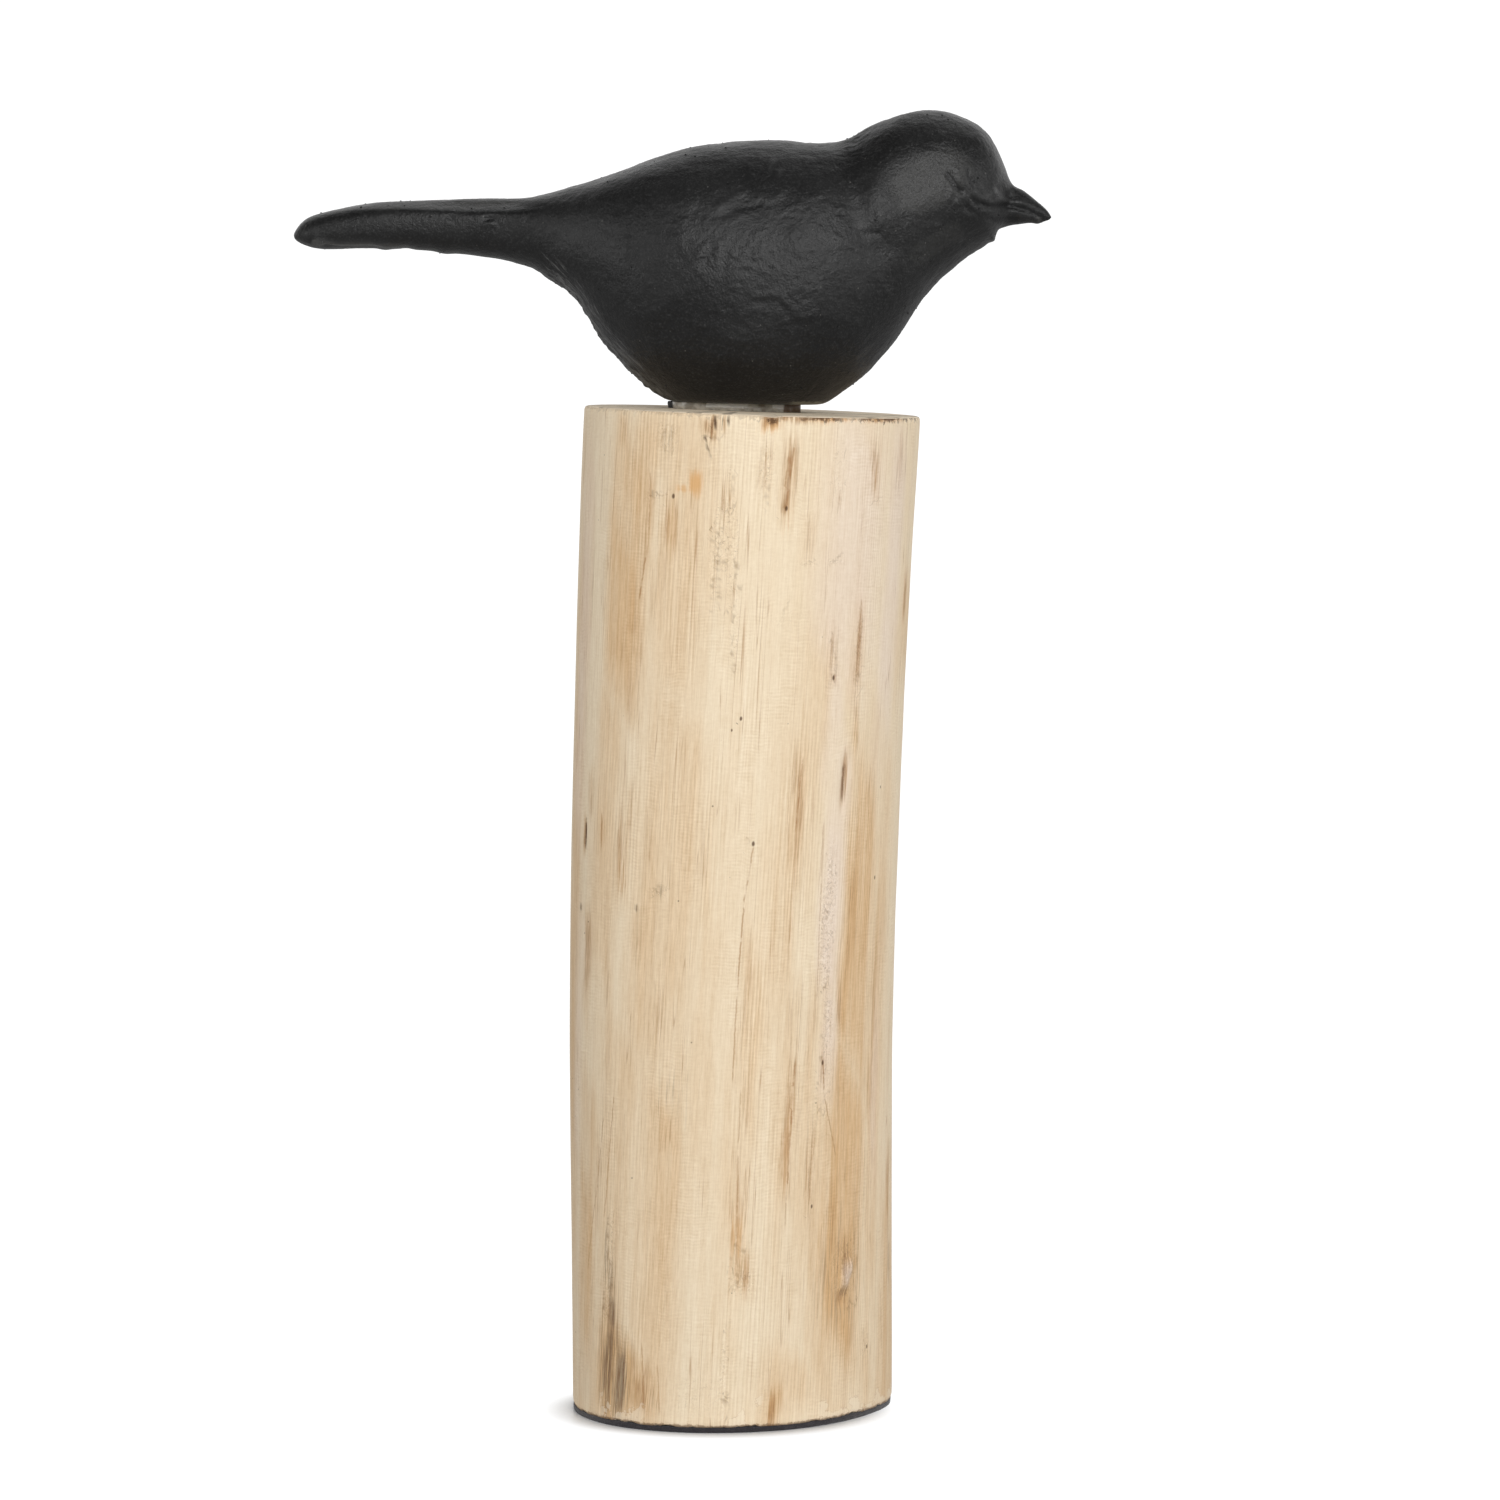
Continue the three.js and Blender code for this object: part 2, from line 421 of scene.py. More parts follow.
def makeFloor():
    mesh = bpy.data.meshes.new("floor")
    shape = bmesh.new()
    radius = studio["floorRadius"] * mm
    bmesh.ops.create_circle(shape, cap_ends=True, segments=studio["floorSides"], radius=radius)
    shape.to_mesh(mesh)
    shape.free()
    floor = newPiece("floor", mesh)
    material, board = newMaterial("pale floor")
    left, forward = studio["shadowOffset"]
    away = board.placeInMm().vector("SUBTRACT", (left, forward, 0)).vector("LENGTH")
    shade = board.put("ShaderNodeBsdfPrincipled", {}, {
        "Base Color": colour(*studio["floorColour"]), "Roughness": studio["floorRoughness"],
    })
    seen = board.put("ShaderNodeLightPath", {}, {}, "Is Camera Ray")
    extra = studio["backdropStrength"] - studio["floorReturn"]
    glow = board.put("ShaderNodeEmission", {}, {"Strength": studio["floorReturn"] + extra * seen})
    mixed = board.put("ShaderNodeMixShader", {}, {0: away.fade(*studio["floorGlow"]), 1: shade, 2: glow})
    board.put("ShaderNodeOutputMaterial", {}, {"Surface": mixed}, None)
    mesh.materials.append(material)


makeCamera()
makeLights()
makeRoom()
makeFloor()
print("studio made")


# The peeled log

trunk = {
    "sides": 300, "rows": 290, "capRings": 16,
    "bowStart": 102.0, "bowReach": 7.1, "bowCurve": 1.6,   # how the trunk leans towards +X
    "windAtFoot": 80.0,          # degrees in a metre that the fibres wind round the trunk at its foot
    "windEnds": 300.0,           # the height at which they run straight up
    "halfWidth": 50.0,
    "stainSpread": 1.45,         # how much wider every mark is than its solid middle
    "rimRounding": 0.3, "rimChips": 0.3, "footChips": 5.0,
    "ridgeDepth": 0.3, "lumpDepth": 0.6, "grooveDepth": 0.22, "sawMarkDepth": 0.05,
    "probeInset": 4.0,           # how far below the sawn top its outline is taken
    "levelReach": 30.0,          # how far from the axis the sawn top's slope is taken
    "facetSmoothing": 26,        # passes that take the facets off the outline
}

# Marks on the front of the wood. Each is how far across the front from the log's middle line it lies and
# how far up from the floor, then half its width, half its length along the fibres, and its strength.
trunkMarks = {
    "brown": [
        (11.2, 284, 2.0, 13, 0.75), (10.5, 276, 1.0, 5, 0.8), (4.2, 286, 1.6, 8, 0.4),
        (-36.8, 295, 1.3, 5, 0.45), (-21.8, 266, 1.7, 9, 0.5), (-27.8, 268, 1.0, 14, 0.3),
        (38.0, 283, 2.6, 11, 0.55), (46.5, 286, 2.4, 11, 0.45), (17.8, 265, 1.7, 7, 0.3),
        (36.2, 234, 1.1, 14, 0.65), (27.6, 231, 2.4, 13, 0.35), (28.0, 223, 1.0, 2.2, 0.7),
        (18.4, 184, 2.0, 21, 0.6), (16.4, 150, 1.1, 22, 0.4), (-42.4, 189, 1.4, 9, 0.6),
        (-43.9, 176, 0.8, 6, 0.95), (-38.4, 177.5, 0.7, 6, 0.6), (-31.5, 172, 2.2, 17, 0.6),
        (-27.0, 148, 1.4, 9, 0.35), (37.0, 209, 1.5, 9, 0.55), (38.0, 154, 2.8, 20, 0.48),
        (35.4, 130, 1.8, 22, 0.6), (-42.8, 138, 2.0, 17, 0.6), (4.2, 131, 1.5, 20, 0.4),
        (19.0, 121, 1.7, 13, 0.4), (-8.3, 167, 1.2, 18, 0.35), (-21.5, 121, 1.7, 12, 0.3),
        (18.2, 92, 2.1, 25, 0.5), (19.4, 104, 1.2, 10, 0.5), (-18.6, 89, 2.2, 8, 0.45),
        (1.8, 63, 2.0, 16, 0.4), (3.2, 46, 3.4, 10, 0.4), (25.0, 77, 1.3, 14, 0.4),
        (-38.4, 72, 1.4, 14, 0.3), (-23, 14, 3.2, 9, 0.45), (13.0, 7, 1.4, 6, 0.75),
        (-29.5, 15, 2.4, 12, 0.4), (36.6, 39, 1.8, 5, 0.6), (37.0, 46, 9.5, 26, 0.2),
        (37.0, 50, 2.6, 9, 0.6), (46, 120, 2.2, 30, 0.4), (29.2, 107, 0.9, 6, 0.6),
        (5.0, 299.0, 2.4, 2.8, 1.0), (19.0, 299.6, 9.0, 1.5, 0.85), (42.0, 299.2, 8.0, 1.5, 1.0),
        (-10.9, 298, 0.9, 6, 0.85), (-8.2, 298.6, 0.7, 3.5, 0.7), (8.4, 300.0, 4.0, 1.4, 0.8),
        (-12.4, 297.4, 2.4, 3.2, 0.7), (38, 70, 5.0, 30, 0.12), (38, 34, 5.0, 14, 0.3),
        (35, 98, 3.4, 24, 0.28), (-36, 24, 3.6, 22, 0.75), (-27, 9, 4.0, 9, 0.6), (-30, 235, 2.6, 30, 0.3),
        (-24, 258, 1.8, 16, 0.35), (-36, 120, 1.6, 30, 0.35), (24.6, 118, 1.4, 22, 0.4),
        (6, 108, 1.2, 30, 0.3), (26, 64, 1.6, 30, 0.22), (33.1, 191.5, 0.9, 8, 0.9),
        (36.6, 39, 2.2, 3.6, 0.7), (41, 47, 1.2, 3, 0.5), (44, 170, 1.6, 30, 0.3),
    ],
    "grey": [
        (-34.6, 33, 1.4, 9, 0.9), (-36.2, 17, 2.2, 16, 0.8), (-32.2, 12, 2.4, 13, 0.95),
        (-36.6, 6, 2.0, 5, 0.7), (-35.6, 50, 1.1, 16, 0.65), (-17.0, 100, 4.4, 10, 0.28),
        (-26.3, 277.2, 1.6, 1.2, 0.6), (-45.2, 153, 1.1, 1.3, 0.8), (-27.2, 155.3, 0.8, 1.4, 0.8),
        (-20.8, 160.8, 1.0, 2.0, 0.4), (-34.4, 15, 6.0, 17, 0.6), (-35.0, 42, 2.6, 14, 0.5),
        (37.6, 40, 1.4, 2.6, 0.6), (-24, 294, 2.4, 4, 0.3), (-21.5, 10, 1.6, 5, 0.4),
        (24, 80, 1.0, 12, 0.2), (36.0, 45, 9.0, 20, 0.32),
    ],
    "orange": [
        (-15.8, 280, 1.9, 4.4, 1.0), (-18.4, 279, 2.2, 1.4, 0.8), (12.0, 272, 1.4, 7, 0.5),
        (17.8, 84, 1.2, 16, 0.6), (1.7, 57, 2.0, 11, 0.7), (4.9, 297.8, 2.6, 3.0, 0.9),
        (24.0, 299.4, 5.0, 2.0, 0.9), (36.0, 299.4, 9.0, 1.8, 0.6), (-20, 12, 2.0, 7, 0.5),
        (38.4, 279, 2.0, 7, 0.35), (13.0, 8, 1.8, 5, 0.5), (2.4, 46, 3.4, 9, 0.45),
        (-31.6, 166, 1.6, 9, 0.5), (-21.8, 266, 1.4, 6, 0.4),
    ],
    "pale": [
        (31.0, 158, 3.6, 38, 1.0), (30.8, 118, 2.6, 22, 0.85), (33.0, 262, 11.0, 42, 0.75),
        (46.5, 255, 5.0, 52, 0.85), (29.0, 215, 3.0, 26, 0.6), (47.0, 96, 2.2, 36, 0.5),
        (-46.5, 235, 4.0, 62, 0.6), (38.0, 45, 1.2, 3.6, 1.0), (-46.0, 110, 3.0, 40, 0.4),
    ],
    "flecks": [
        (-5.6, 283, 1.3, 9, 0.5), (-7.4, 264, 2.6, 12, 0.9), (-9.4, 254, 1.2, 8, 0.8),
        (-4.2, 256, 1.0, 14, 0.8), (-2.4, 238, 0.9, 14, 0.6), (29.8, 152, 2.4, 26, 0.9),
        (30.2, 118, 2.0, 16, 0.8), (36.5, 232, 1.3, 16, 0.8), (27.6, 231, 2.0, 12, 0.45),
        (-34.6, 54, 1.8, 14, 1.0), (-36.2, 38, 2.0, 10, 1.0), (3.0, 44, 4.0, 4.6, 0.9),
        (37.0, 47, 5.0, 11, 0.7), (-1.8, 20, 0.9, 15, 0.9), (10.7, 12, 2.0, 8, 0.3),
        (-10, 12, 8.0, 8, 0.35), (4.6, 286, 2.0, 8, 0.6), (26, 285, 3.0, 10, 0.4), (-24, 294, 3.0, 5, 0.7),
        (18.5, 257.3, 2.2, 1.2, 1.0), (27.0, 257.2, 2.6, 1.2, 0.9), (39.3, 274.6, 1.6, 1.2, 0.9),
        (-25.8, 277.2, 3.4, 1.0, 0.7), (44.5, 22, 1.6, 4, 0.7), (-20.8, 160.8, 1.6, 2.0, 0.8),
        (12.0, 240, 6.0, 4.0, 0.3), (25.4, 82, 1.4, 16, 0.5), (31.0, 96, 1.6, 14, 0.6),
    ],
    "tan": [
        (-33.5, 250, 6.6, 46, 0.95), (-19.5, 252, 7.0, 46, 0.42), (-8, 262, 4.5, 34, 0.3),
        (-30, 290, 8.0, 12, 0.5), (-47.5, 150, 5.0, 150, 0.7), (-19, 165, 9, 66, 0.5),
        (-38, 165, 5.0, 50, 0.55), (11, 160, 5.0, 50, 0.3), (41, 156, 7.0, 62, 0.9),
        (23, 205, 4.0, 40, 0.25), (-20.5, 68, 6.5, 60, 0.62), (-34, 70, 6.0, 50, 0.5),
        (1.7, 76, 3.4, 44, 0.32), (23.5, 75, 3.0, 45, 0.3), (36.0, 60, 9, 56, 1.0),
        (-43, 50, 5.0, 56, 0.85), (-33, 12, 12.0, 20, 0.85), (18, 12, 9.0, 12, 0.5),
        (47, 110, 4.0, 110, 0.7), (6, 118, 3.5, 40, 0.4), (30, 118, 3.0, 34, 0.35), (15, 80, 2.0, 40, 0.3),
        (36, 238, 3.0, 24, 0.4), (-9, 110, 3.0, 50, 0.3),
    ],
}
# How many of each kind are strewn round the rest of the trunk, their widest half width and how much longer
# than the others they are
hiddenMarks = {
    "brown": (22, 2.6, 1), "grey": (6, 2.6, 1), "orange": (6, 2.0, 1),
    "pale": (6, 5.0, 1), "flecks": (9, 2.4, 1), "tan": (12, 12, 3),
}
strewn = {
    "seed": 11, "sides": (80, 280), "heights": (12, 290),
    "widths": (0.4, 1.0),        # as a share of the widest
    "lengths": (6, 22), "strengths": (0.3, 0.8),
}

# Torn and sunken spots that are deep enough to have a shape: across, up, half width, half length, height
trunkDents = [
    (38.6, 46.4, 1.3, 2.4, 1.5), (37.3, 42.2, 1.2, 2.0, 1.3), (36.2, 38.0, 1.5, 3.0, -1.0),
    (5.0, 299.2, 2.0, 1.8, -0.8), (-35.0, 46, 1.5, 15, -0.3), (-32, 20, 3.2, 14, -0.25),
    (3.0, 44, 3.4, 4.4, -0.25), (33.0, 191.7, 0.9, 7, -0.5), (-43.9, 176, 0.8, 5, -0.4),
]

# Fine lines in the wood: the two ends of each, as (across, up), then its width and its strength
fineLines = {
    "longLineTop": ((5.3, 174.5), (3.1, 157), 0.30, 0.6),
    "longLineMiddle": ((3.2, 160), (1.6, 132), 0.30, 0.75),
    "longLineLow": ((1.7, 134), (0.5, 104), 0.26, 0.6),
    "crackByTop": ((-13.5, 295), (-12.7, 291), 0.5, 0.9),
    "crackByTopLow": ((-12.8, 291.6), (-11.4, 287.6), 0.55, 0.95),
    "rimCrackOne": ((-10.9, 301), (-10.7, 296), 0.5, 0.9),
    "rimCrackTwo": ((-7.3, 300.6), (-7.1, 297.4), 0.5, 0.8),
    "darkSplit": ((33.1, 197), (33.1, 186), 0.6, 0.45),
    "leftLineTop": ((-27.8, 284), (-27.6, 266), 0.28, 0.55),
    "leftLineLow": ((-27.8, 262), (-29.4, 246), 0.34, 0.75),
    "leftSplit": ((-43.9, 181), (-43.9, 171), 0.5, 0.8),
    "leftSplitTwo": ((-38.6, 183), (-38.4, 172), 0.35, 0.5),
    "pairOneTop": ((-37.0, 92), (-39.2, 70), 0.28, 0.6),
    "pairOneLow": ((-39.2, 72), (-42.6, 45), 0.28, 0.55),
    "pairTwo": ((-33.6, 99), (-36.8, 62), 0.28, 0.6),
    "rightLine": ((19.6, 110), (17.2, 72), 0.35, 0.7),
    "rightLineTwo": ((18.2, 100), (16.5, 60), 0.26, 0.5),
    "wedgeLine": ((3.0, 102), (2.0, 80), 0.26, 0.45),
    "wedgeLineLow": ((2.1, 82), (1.7, 50), 0.36, 0.5),
    "brownLine": ((36.4, 246), (36.4, 222), 0.36, 0.55),
    "curvedCrackTop": ((29.0, 110), (29.8, 98), 0.35, 0.75),
    "curvedCrackLow": ((29.7, 99), (33.9, 80), 0.32, 0.6),
    "streakCore": ((12.0, 292), (10.4, 272), 0.36, 0.7),
    "streakCoreTwo": ((10.4, 289), (9.6, 276), 0.3, 0.6),
    "twinLine": ((3.8, 293), (4.2, 279), 0.3, 0.5),
    "rightStreakLine": ((19.3, 200), (17.9, 178), 0.35, 0.55),
    "paleEdge": ((27.0, 180), (26.6, 128), 0.24, 0.5),
    "reddishLine": ((25.6, 88), (24.4, 66), 0.26, 0.5),
    "footLineOne": ((-25.5, 26), (-24.9, 6), 0.3, 0.6),
    "footLineTwo": ((-21.0, 20), (-20.4, 5), 0.26, 0.5),
}

# Small dark spots, as (across, up, half size)
darkSpots = [
    (-21.2, 276.8, 0.55), (10.6, 273.2, 0.6), (0.3, 211.7, 0.5), (-2.2, 208.3, 0.35), (5.2, 174.8, 0.55),
    (29.0, 108.8, 0.6), (25.4, 66.2, 0.5), (28.1, 223.0, 0.6), (45.0, 21.0, 0.5), (46.3, 189.0, 0.4),
    (45.6, 162.0, 0.5),
]

# Short strokes along a path: its two ends, how far the strokes stray from it, how many they are, how much
# they lean, and their strength
tracks = {"seed": 5, "halfLengths": (0.9, 2.4), "widths": (0.2, 0.34), "paths": [
    ((-4.6, 284), (-5.4, 271), 1.0, 8, 0.2, 0.55), ((-8.6, 268), (-6.6, 252), 2.4, 16, 0.45, 0.65),
    ((-7.4, 256), (-7.6, 240), 2.2, 16, 0.35, 0.6), ((-2.6, 258), (-2.2, 224), 1.4, 18, 0.3, 0.6),
    ((4.6, 290), (4.8, 268), 1.0, 8, 0.1, 0.5), ((9.0, 238), (13.5, 247), 0.6, 4, 0.9, 0.35),
    ((30.6, 170), (29.2, 120), 1.8, 34, 0.5, 0.7), ((28.8, 120), (28.2, 90), 1.8, 22, 0.35, 0.6),
    ((-34.2, 62), (-36.6, 30), 1.5, 26, 0.15, 0.7), ((36.2, 246), (36.6, 218), 0.9, 18, 0.5, 0.6),
    ((27.4, 238), (28.0, 220), 1.4, 10, 0.2, 0.6), ((26.0, 290), (27.0, 272), 2.0, 8, 0.3, 0.4),
    ((-1.4, 34), (-1.8, 4), 1.2, 16, 0.3, 0.7), ((1.6, 60), (2.4, 42), 3.0, 16, 0.25, 0.55),
    ((18.0, 258), (19.5, 257), 1.2, 4, 1.6, 0.6), ((25.6, 257), (28.4, 259), 0.8, 4, 0.9, 0.6),
    ((39.0, 275), (40.0, 274.5), 0.8, 3, 1.6, 0.6), ((-27.6, 277), (-24.0, 277), 0.8, 5, 1.2, 0.5),
    ((36.0, 56), (40.0, 34), 2.4, 20, 0.3, 0.6), ((44.6, 26), (44.4, 18), 0.8, 5, 0.2, 0.6),
    ((-22.0, 163), (-19.4, 158), 0.6, 4, 1.4, 0.5), ((3.0, 178), (4.2, 174), 1.2, 4, 0.9, 0.5),
    ((-14, 296), (-9, 292), 2.4, 8, 0.3, 0.6), ((-25, 297), (-22, 290), 2.0, 8, 0.3, 0.45),
]}
crackWidth = 0.45   # lines wider than this are cracks, the others are brown fibres


def windAt(height, atFoot, ends):
    # how far round the trunk the fibres have wound at a height
    return (height - height * height / (ends * 2)) * atFoot


def unwound(across, up):
    # the angle of a spot on the front, once the fibres are straightened
    rate = math.radians(trunk["windAtFoot"]) * mm
    return math.asin(across / trunk["halfWidth"]) - windAt(up, rate, trunk["windEnds"])


# The noises behind the log's relief: lumps in a millimetre, layers, roughness, and how far each is squeezed
# on every axis, where a small third number stretches it along the trunk
reliefNoises = {
    "ridges": (0.12, 1.5, 0.5, (1, 1, 0.07)),
    "lumps": (0.03, 1.0, 0.5, (1, 1, 0.5)),
    "grooves": (0.4, 2.0, 0.5, (1, 1, 0.06)),
    "chips": (0.2, 3.0, 0.6),
    "footTears": (0.16, 3.0, 0.65),
    "sawMarks": (0.7, 2.0, 0.5, (1, 0.12, 0)),
}


def trunkTree():
    tree, board, given = newTree("peeled trunk", [
        ("Rough log", "Object", None), ("Sides", "Int", 64), ("Rows", "Int", 64), ("Cap rings", "Int", 8),
        ("Foot", "Float", 0.0), ("Top", "Float", 0.3), ("Top slope", "Float", 0.0),
        ("Bow start", "Float", 0.1), ("Bow reach", "Float", 0.0), ("Bow curve", "Float", 1.5),
        ("Wind at foot", "Float", 0.0), ("Wind ends", "Float", 0.3),
        ("Facet smoothing", "Int", 10), ("Probe inset", "Float", 0.004),
        ("Rim rounding", "Float", 0.0), ("Rim chips", "Float", 0.0), ("Foot chips", "Float", 0.0),
        ("Ridge depth", "Float", 0.0), ("Lump depth", "Float", 0.0), ("Groove depth", "Float", 0.0),
        ("Saw mark depth", "Float", 0.0), ("Finish", "Material", None),
    ])
    stock = board.put("GeometryNodeMeshCylinder", {"fill_type": "TRIANGLE_FAN"}, {
        "Vertices": given["Sides"], "Side Segments": given["Rows"], "Fill Segments": given["Cap rings"],
        "Radius": 1.0, "Depth": 1.0,
    }, "Mesh")
    sawn = stock.beside("Top").most(stock.beside("Bottom"))
    stock = board.put("GeometryNodeStoreNamedAttribute", {"data_type": "FLOAT", "domain": "FACE"},
                      {"Geometry": stock, "Name": "sawnEnd", "Value": sawn})
    place = board.put("GeometryNodeInputPosition")
    up = place.part("Z") + 0.5
    plain = place.vector("MULTIPLY", (1, 1, 0))
    outward = plain.vector("NORMALIZE")
    angle = place.part("Y").math("ARCTAN2", place.part("X"))
    # the rings of the caps crowd towards the rim
    share = 1 - (1 - plain.vector("LENGTH")).most(0.0) ** 1.6

    rough = board.put("GeometryNodeObjectInfo", {"transform_space": "RELATIVE"},
                      {"Object": given["Rough log"]}, "Geometry")

    def axisAt(height):
        risen = ((height - given["Bow start"]) / (given["Top"] - given["Bow start"])).most(0.0)
        return given["Bow reach"] * risen ** given["Bow curve"]

    def radiusAt(height):
        inputs = {"Target Geometry": rough, "Source Position": board.join(axisAt(height), 0.0, height),
                  "Ray Direction": outward, "Ray Length": 0.2}
        hit = board.put("GeometryNodeRaycast", {}, inputs, "Hit Distance")
        return board.put("GeometryNodeBlurAttribute", {"data_type": "FLOAT"},
                         {"Value": hit, "Iterations": given["Facet smoothing"]})

    highest = given["Top"] - given["Probe inset"]
    rimReach = radiusAt(highest) * share * outward.part("X")
    topHere = given["Top"] + given["Top slope"] * (axisAt(given["Top"]) + rimReach)
    height = given["Foot"] + up * (topHere - given["Foot"])
    radius = radiusAt(height.most(given["Foot"] + 0.5 * mm).least(highest))

    # relief in the trunk's own straightened frame, with its fibres unwound
    straight = angle - windAt(height, given["Wind at foot"], given["Wind ends"])
    bark = radius * share
    grain = board.join(straight.math("COSINE") * bark, straight.math("SINE") * bark, height)
    grainMm = grain.vector("SCALE", scale=1 / mm)
    relief = SimpleNamespace(**{name: board.noise(grainMm, *values) for name, values in reliefNoises.items()})
    side = ((relief.ridges - 0.5) * given["Ridge depth"] + (relief.lumps - 0.5) * given["Lump depth"]
            + (relief.grooves - 0.5) * given["Groove depth"])
    toRim = ((topHere - height) / mm).least((height - given["Foot"]) / mm)
    inside = (1 - share) * radius / mm
    edge = (1 - toRim.fade(0.0, 1.3)) ** 2
    chipped = (1 - toRim.fade(0.0, 2.2)) * (relief.chips - 0.45).most(0.0)
    inward = edge * given["Rim rounding"] + chipped * given["Rim chips"] * 4
    newRadius = radius + (side - inward) * inside.fade(0.0, 6.0, 1.0, 0.0)

    # the sawn ends: saw marks and a rounded rim on top, and torn wood round the foot
    onTop = up.fade(0.999, 1.0)
    atFoot = up.fade(0.0, 0.001, 1.0, 0.0)
    rimDrop = (1 - inside.fade(0.0, 1.3)) ** 2 * given["Rim rounding"]
    sawMarks = (relief.sawMarks - 0.5) * given["Saw mark depth"] * inside.fade(0.5, 3.0)
    footTears = (relief.footTears - 0.5).most(0.0).least(0.16) * given["Foot chips"]
    lift = onTop * (sawMarks - rimDrop) + atFoot * (footTears * inside.fade(0.0, 2.0, 1.0, 0.0))
    reach = newRadius * share
    spot = board.join(axisAt(height) + outward.part("X") * reach, outward.part("Y") * reach, height + lift)
    # the grain is taken from where the stock stands, so it is stored before the shape is set
    marked = board.put("GeometryNodeStoreNamedAttribute", {"data_type": "FLOAT_VECTOR", "domain": "POINT"},
                       {"Geometry": stock, "Name": "grain", "Value": grain})
    shaped = board.put("GeometryNodeSetPosition", {}, {"Geometry": marked, "Position": spot})
    endTree(board, shaped, given["Finish"])
    return tree


def turnedFrom(turn, other):
    # the angle from another one to each point's own, the short way round
    return (turn - other + math.pi) % (2 * math.pi) - math.pi


def reachOf(mark, turn, height, radius, wander):
    # how far each point is from a mark's middle, as a share of the mark's half width and half length
    markTurn, up, halfWidth, halfLength = mark
    off = (turnedFrom(turn, markTurn) * radius + wander * min(halfWidth * 0.5, 0.9)) / halfWidth
    along = (height - up + wander * halfLength * 0.3) / halfLength
    return (off ** 4 + along ** 4) ** 0.25


# How near a point must be to belong to a line or a spot, over what width a line's strength fades, and the
# distance that is stored where none is near
nearBy = {"pastEnd": 2.5, "side": 1.9, "sideFade": 0.7, "endFade": 1.2, "spot": 4.0, "none": 9.0}


def lineRows(turn, height, lines):
    # for each point: how far it is to the side of its nearest line, that line's width, and its strength
    rows = np.zeros((len(turn), 3))
    rows[:, 0] = nearBy["none"]
    for (topAcross, topUp), (lowAcross, lowUp), width, strength in lines:
        first, last = unwound(topAcross, topUp), unwound(lowAcross, lowUp)
        share = (height - lowUp) / (topUp - lowUp)
        beyond = np.abs(share - 0.5) * (topUp - lowUp) - (topUp - lowUp) / 2
        off = turnedFrom(turn, last + (first - last) * share) * trunk["halfWidth"]
        here = (np.abs(off) < np.abs(rows[:, 0])) & (beyond < nearBy["pastEnd"])
        fade = np.clip((nearBy["side"] - np.abs(off)) / nearBy["sideFade"], 0, 1)
        fade = fade * np.clip(-beyond / nearBy["endFade"], 0, 1)
        rows[here] = np.stack([off[here], np.full(here.sum(), width), strength * fade[here]], axis=1)
    return rows


def spotRows(turn, height, spots):
    # for each point: how far it is to the side of its nearest spot and above it, and that spot's size
    rows = np.zeros((len(turn), 3))
    rows[:, :2] = nearBy["none"]
    for across, up, half in spots:
        off, above = turnedFrom(turn, unwound(across, up)) * trunk["halfWidth"], height - up
        reach = np.hypot(off, above)
        here = (reach < nearBy["spot"]) & (reach < np.hypot(rows[:, 0], rows[:, 1]))
        rows[here] = np.stack([off[here], above[here], np.full(here.sum(), half)], axis=1)
    return rows


def trackStrokes():
    # the short leaning strokes that insects and the drawknife leave, strewn along a path
    rng = np.random.default_rng(tracks["seed"])
    strokes = []
    for (topAcross, topUp), (lowAcross, lowUp), spread, count, lean, strength in tracks["paths"]:
        for share in rng.uniform(0, 1, count):
            across = topAcross + (lowAcross - topAcross) * share + rng.uniform(-spread, spread)
            up = topUp + (lowUp - topUp) * share
            half = rng.uniform(*tracks["halfLengths"])
            shift = lean * half * rng.uniform(0.5, 1.4)
            ends = (across + shift, up + half), (across - shift, up - half)
            strokes.append((*ends, rng.uniform(*tracks["widths"]), strength * rng.uniform(0.5, 1.0)))
    return strokes


def strewnMarks(kind, rng):
    # marks of one kind for the parts of the trunk that the front doesn't show
    count, widest, longer = hiddenMarks[kind]
    spots = []
    for _ in range(count):
        side, up = math.radians(rng.uniform(*strewn["sides"])), rng.uniform(*strewn["heights"])
        width = rng.uniform(*strewn["widths"]) * widest
        length = rng.uniform(*strewn["lengths"]) * longer
        spots.append((side + unwound(0, up), up, width, length, rng.uniform(*strewn["strengths"])))
    return spots


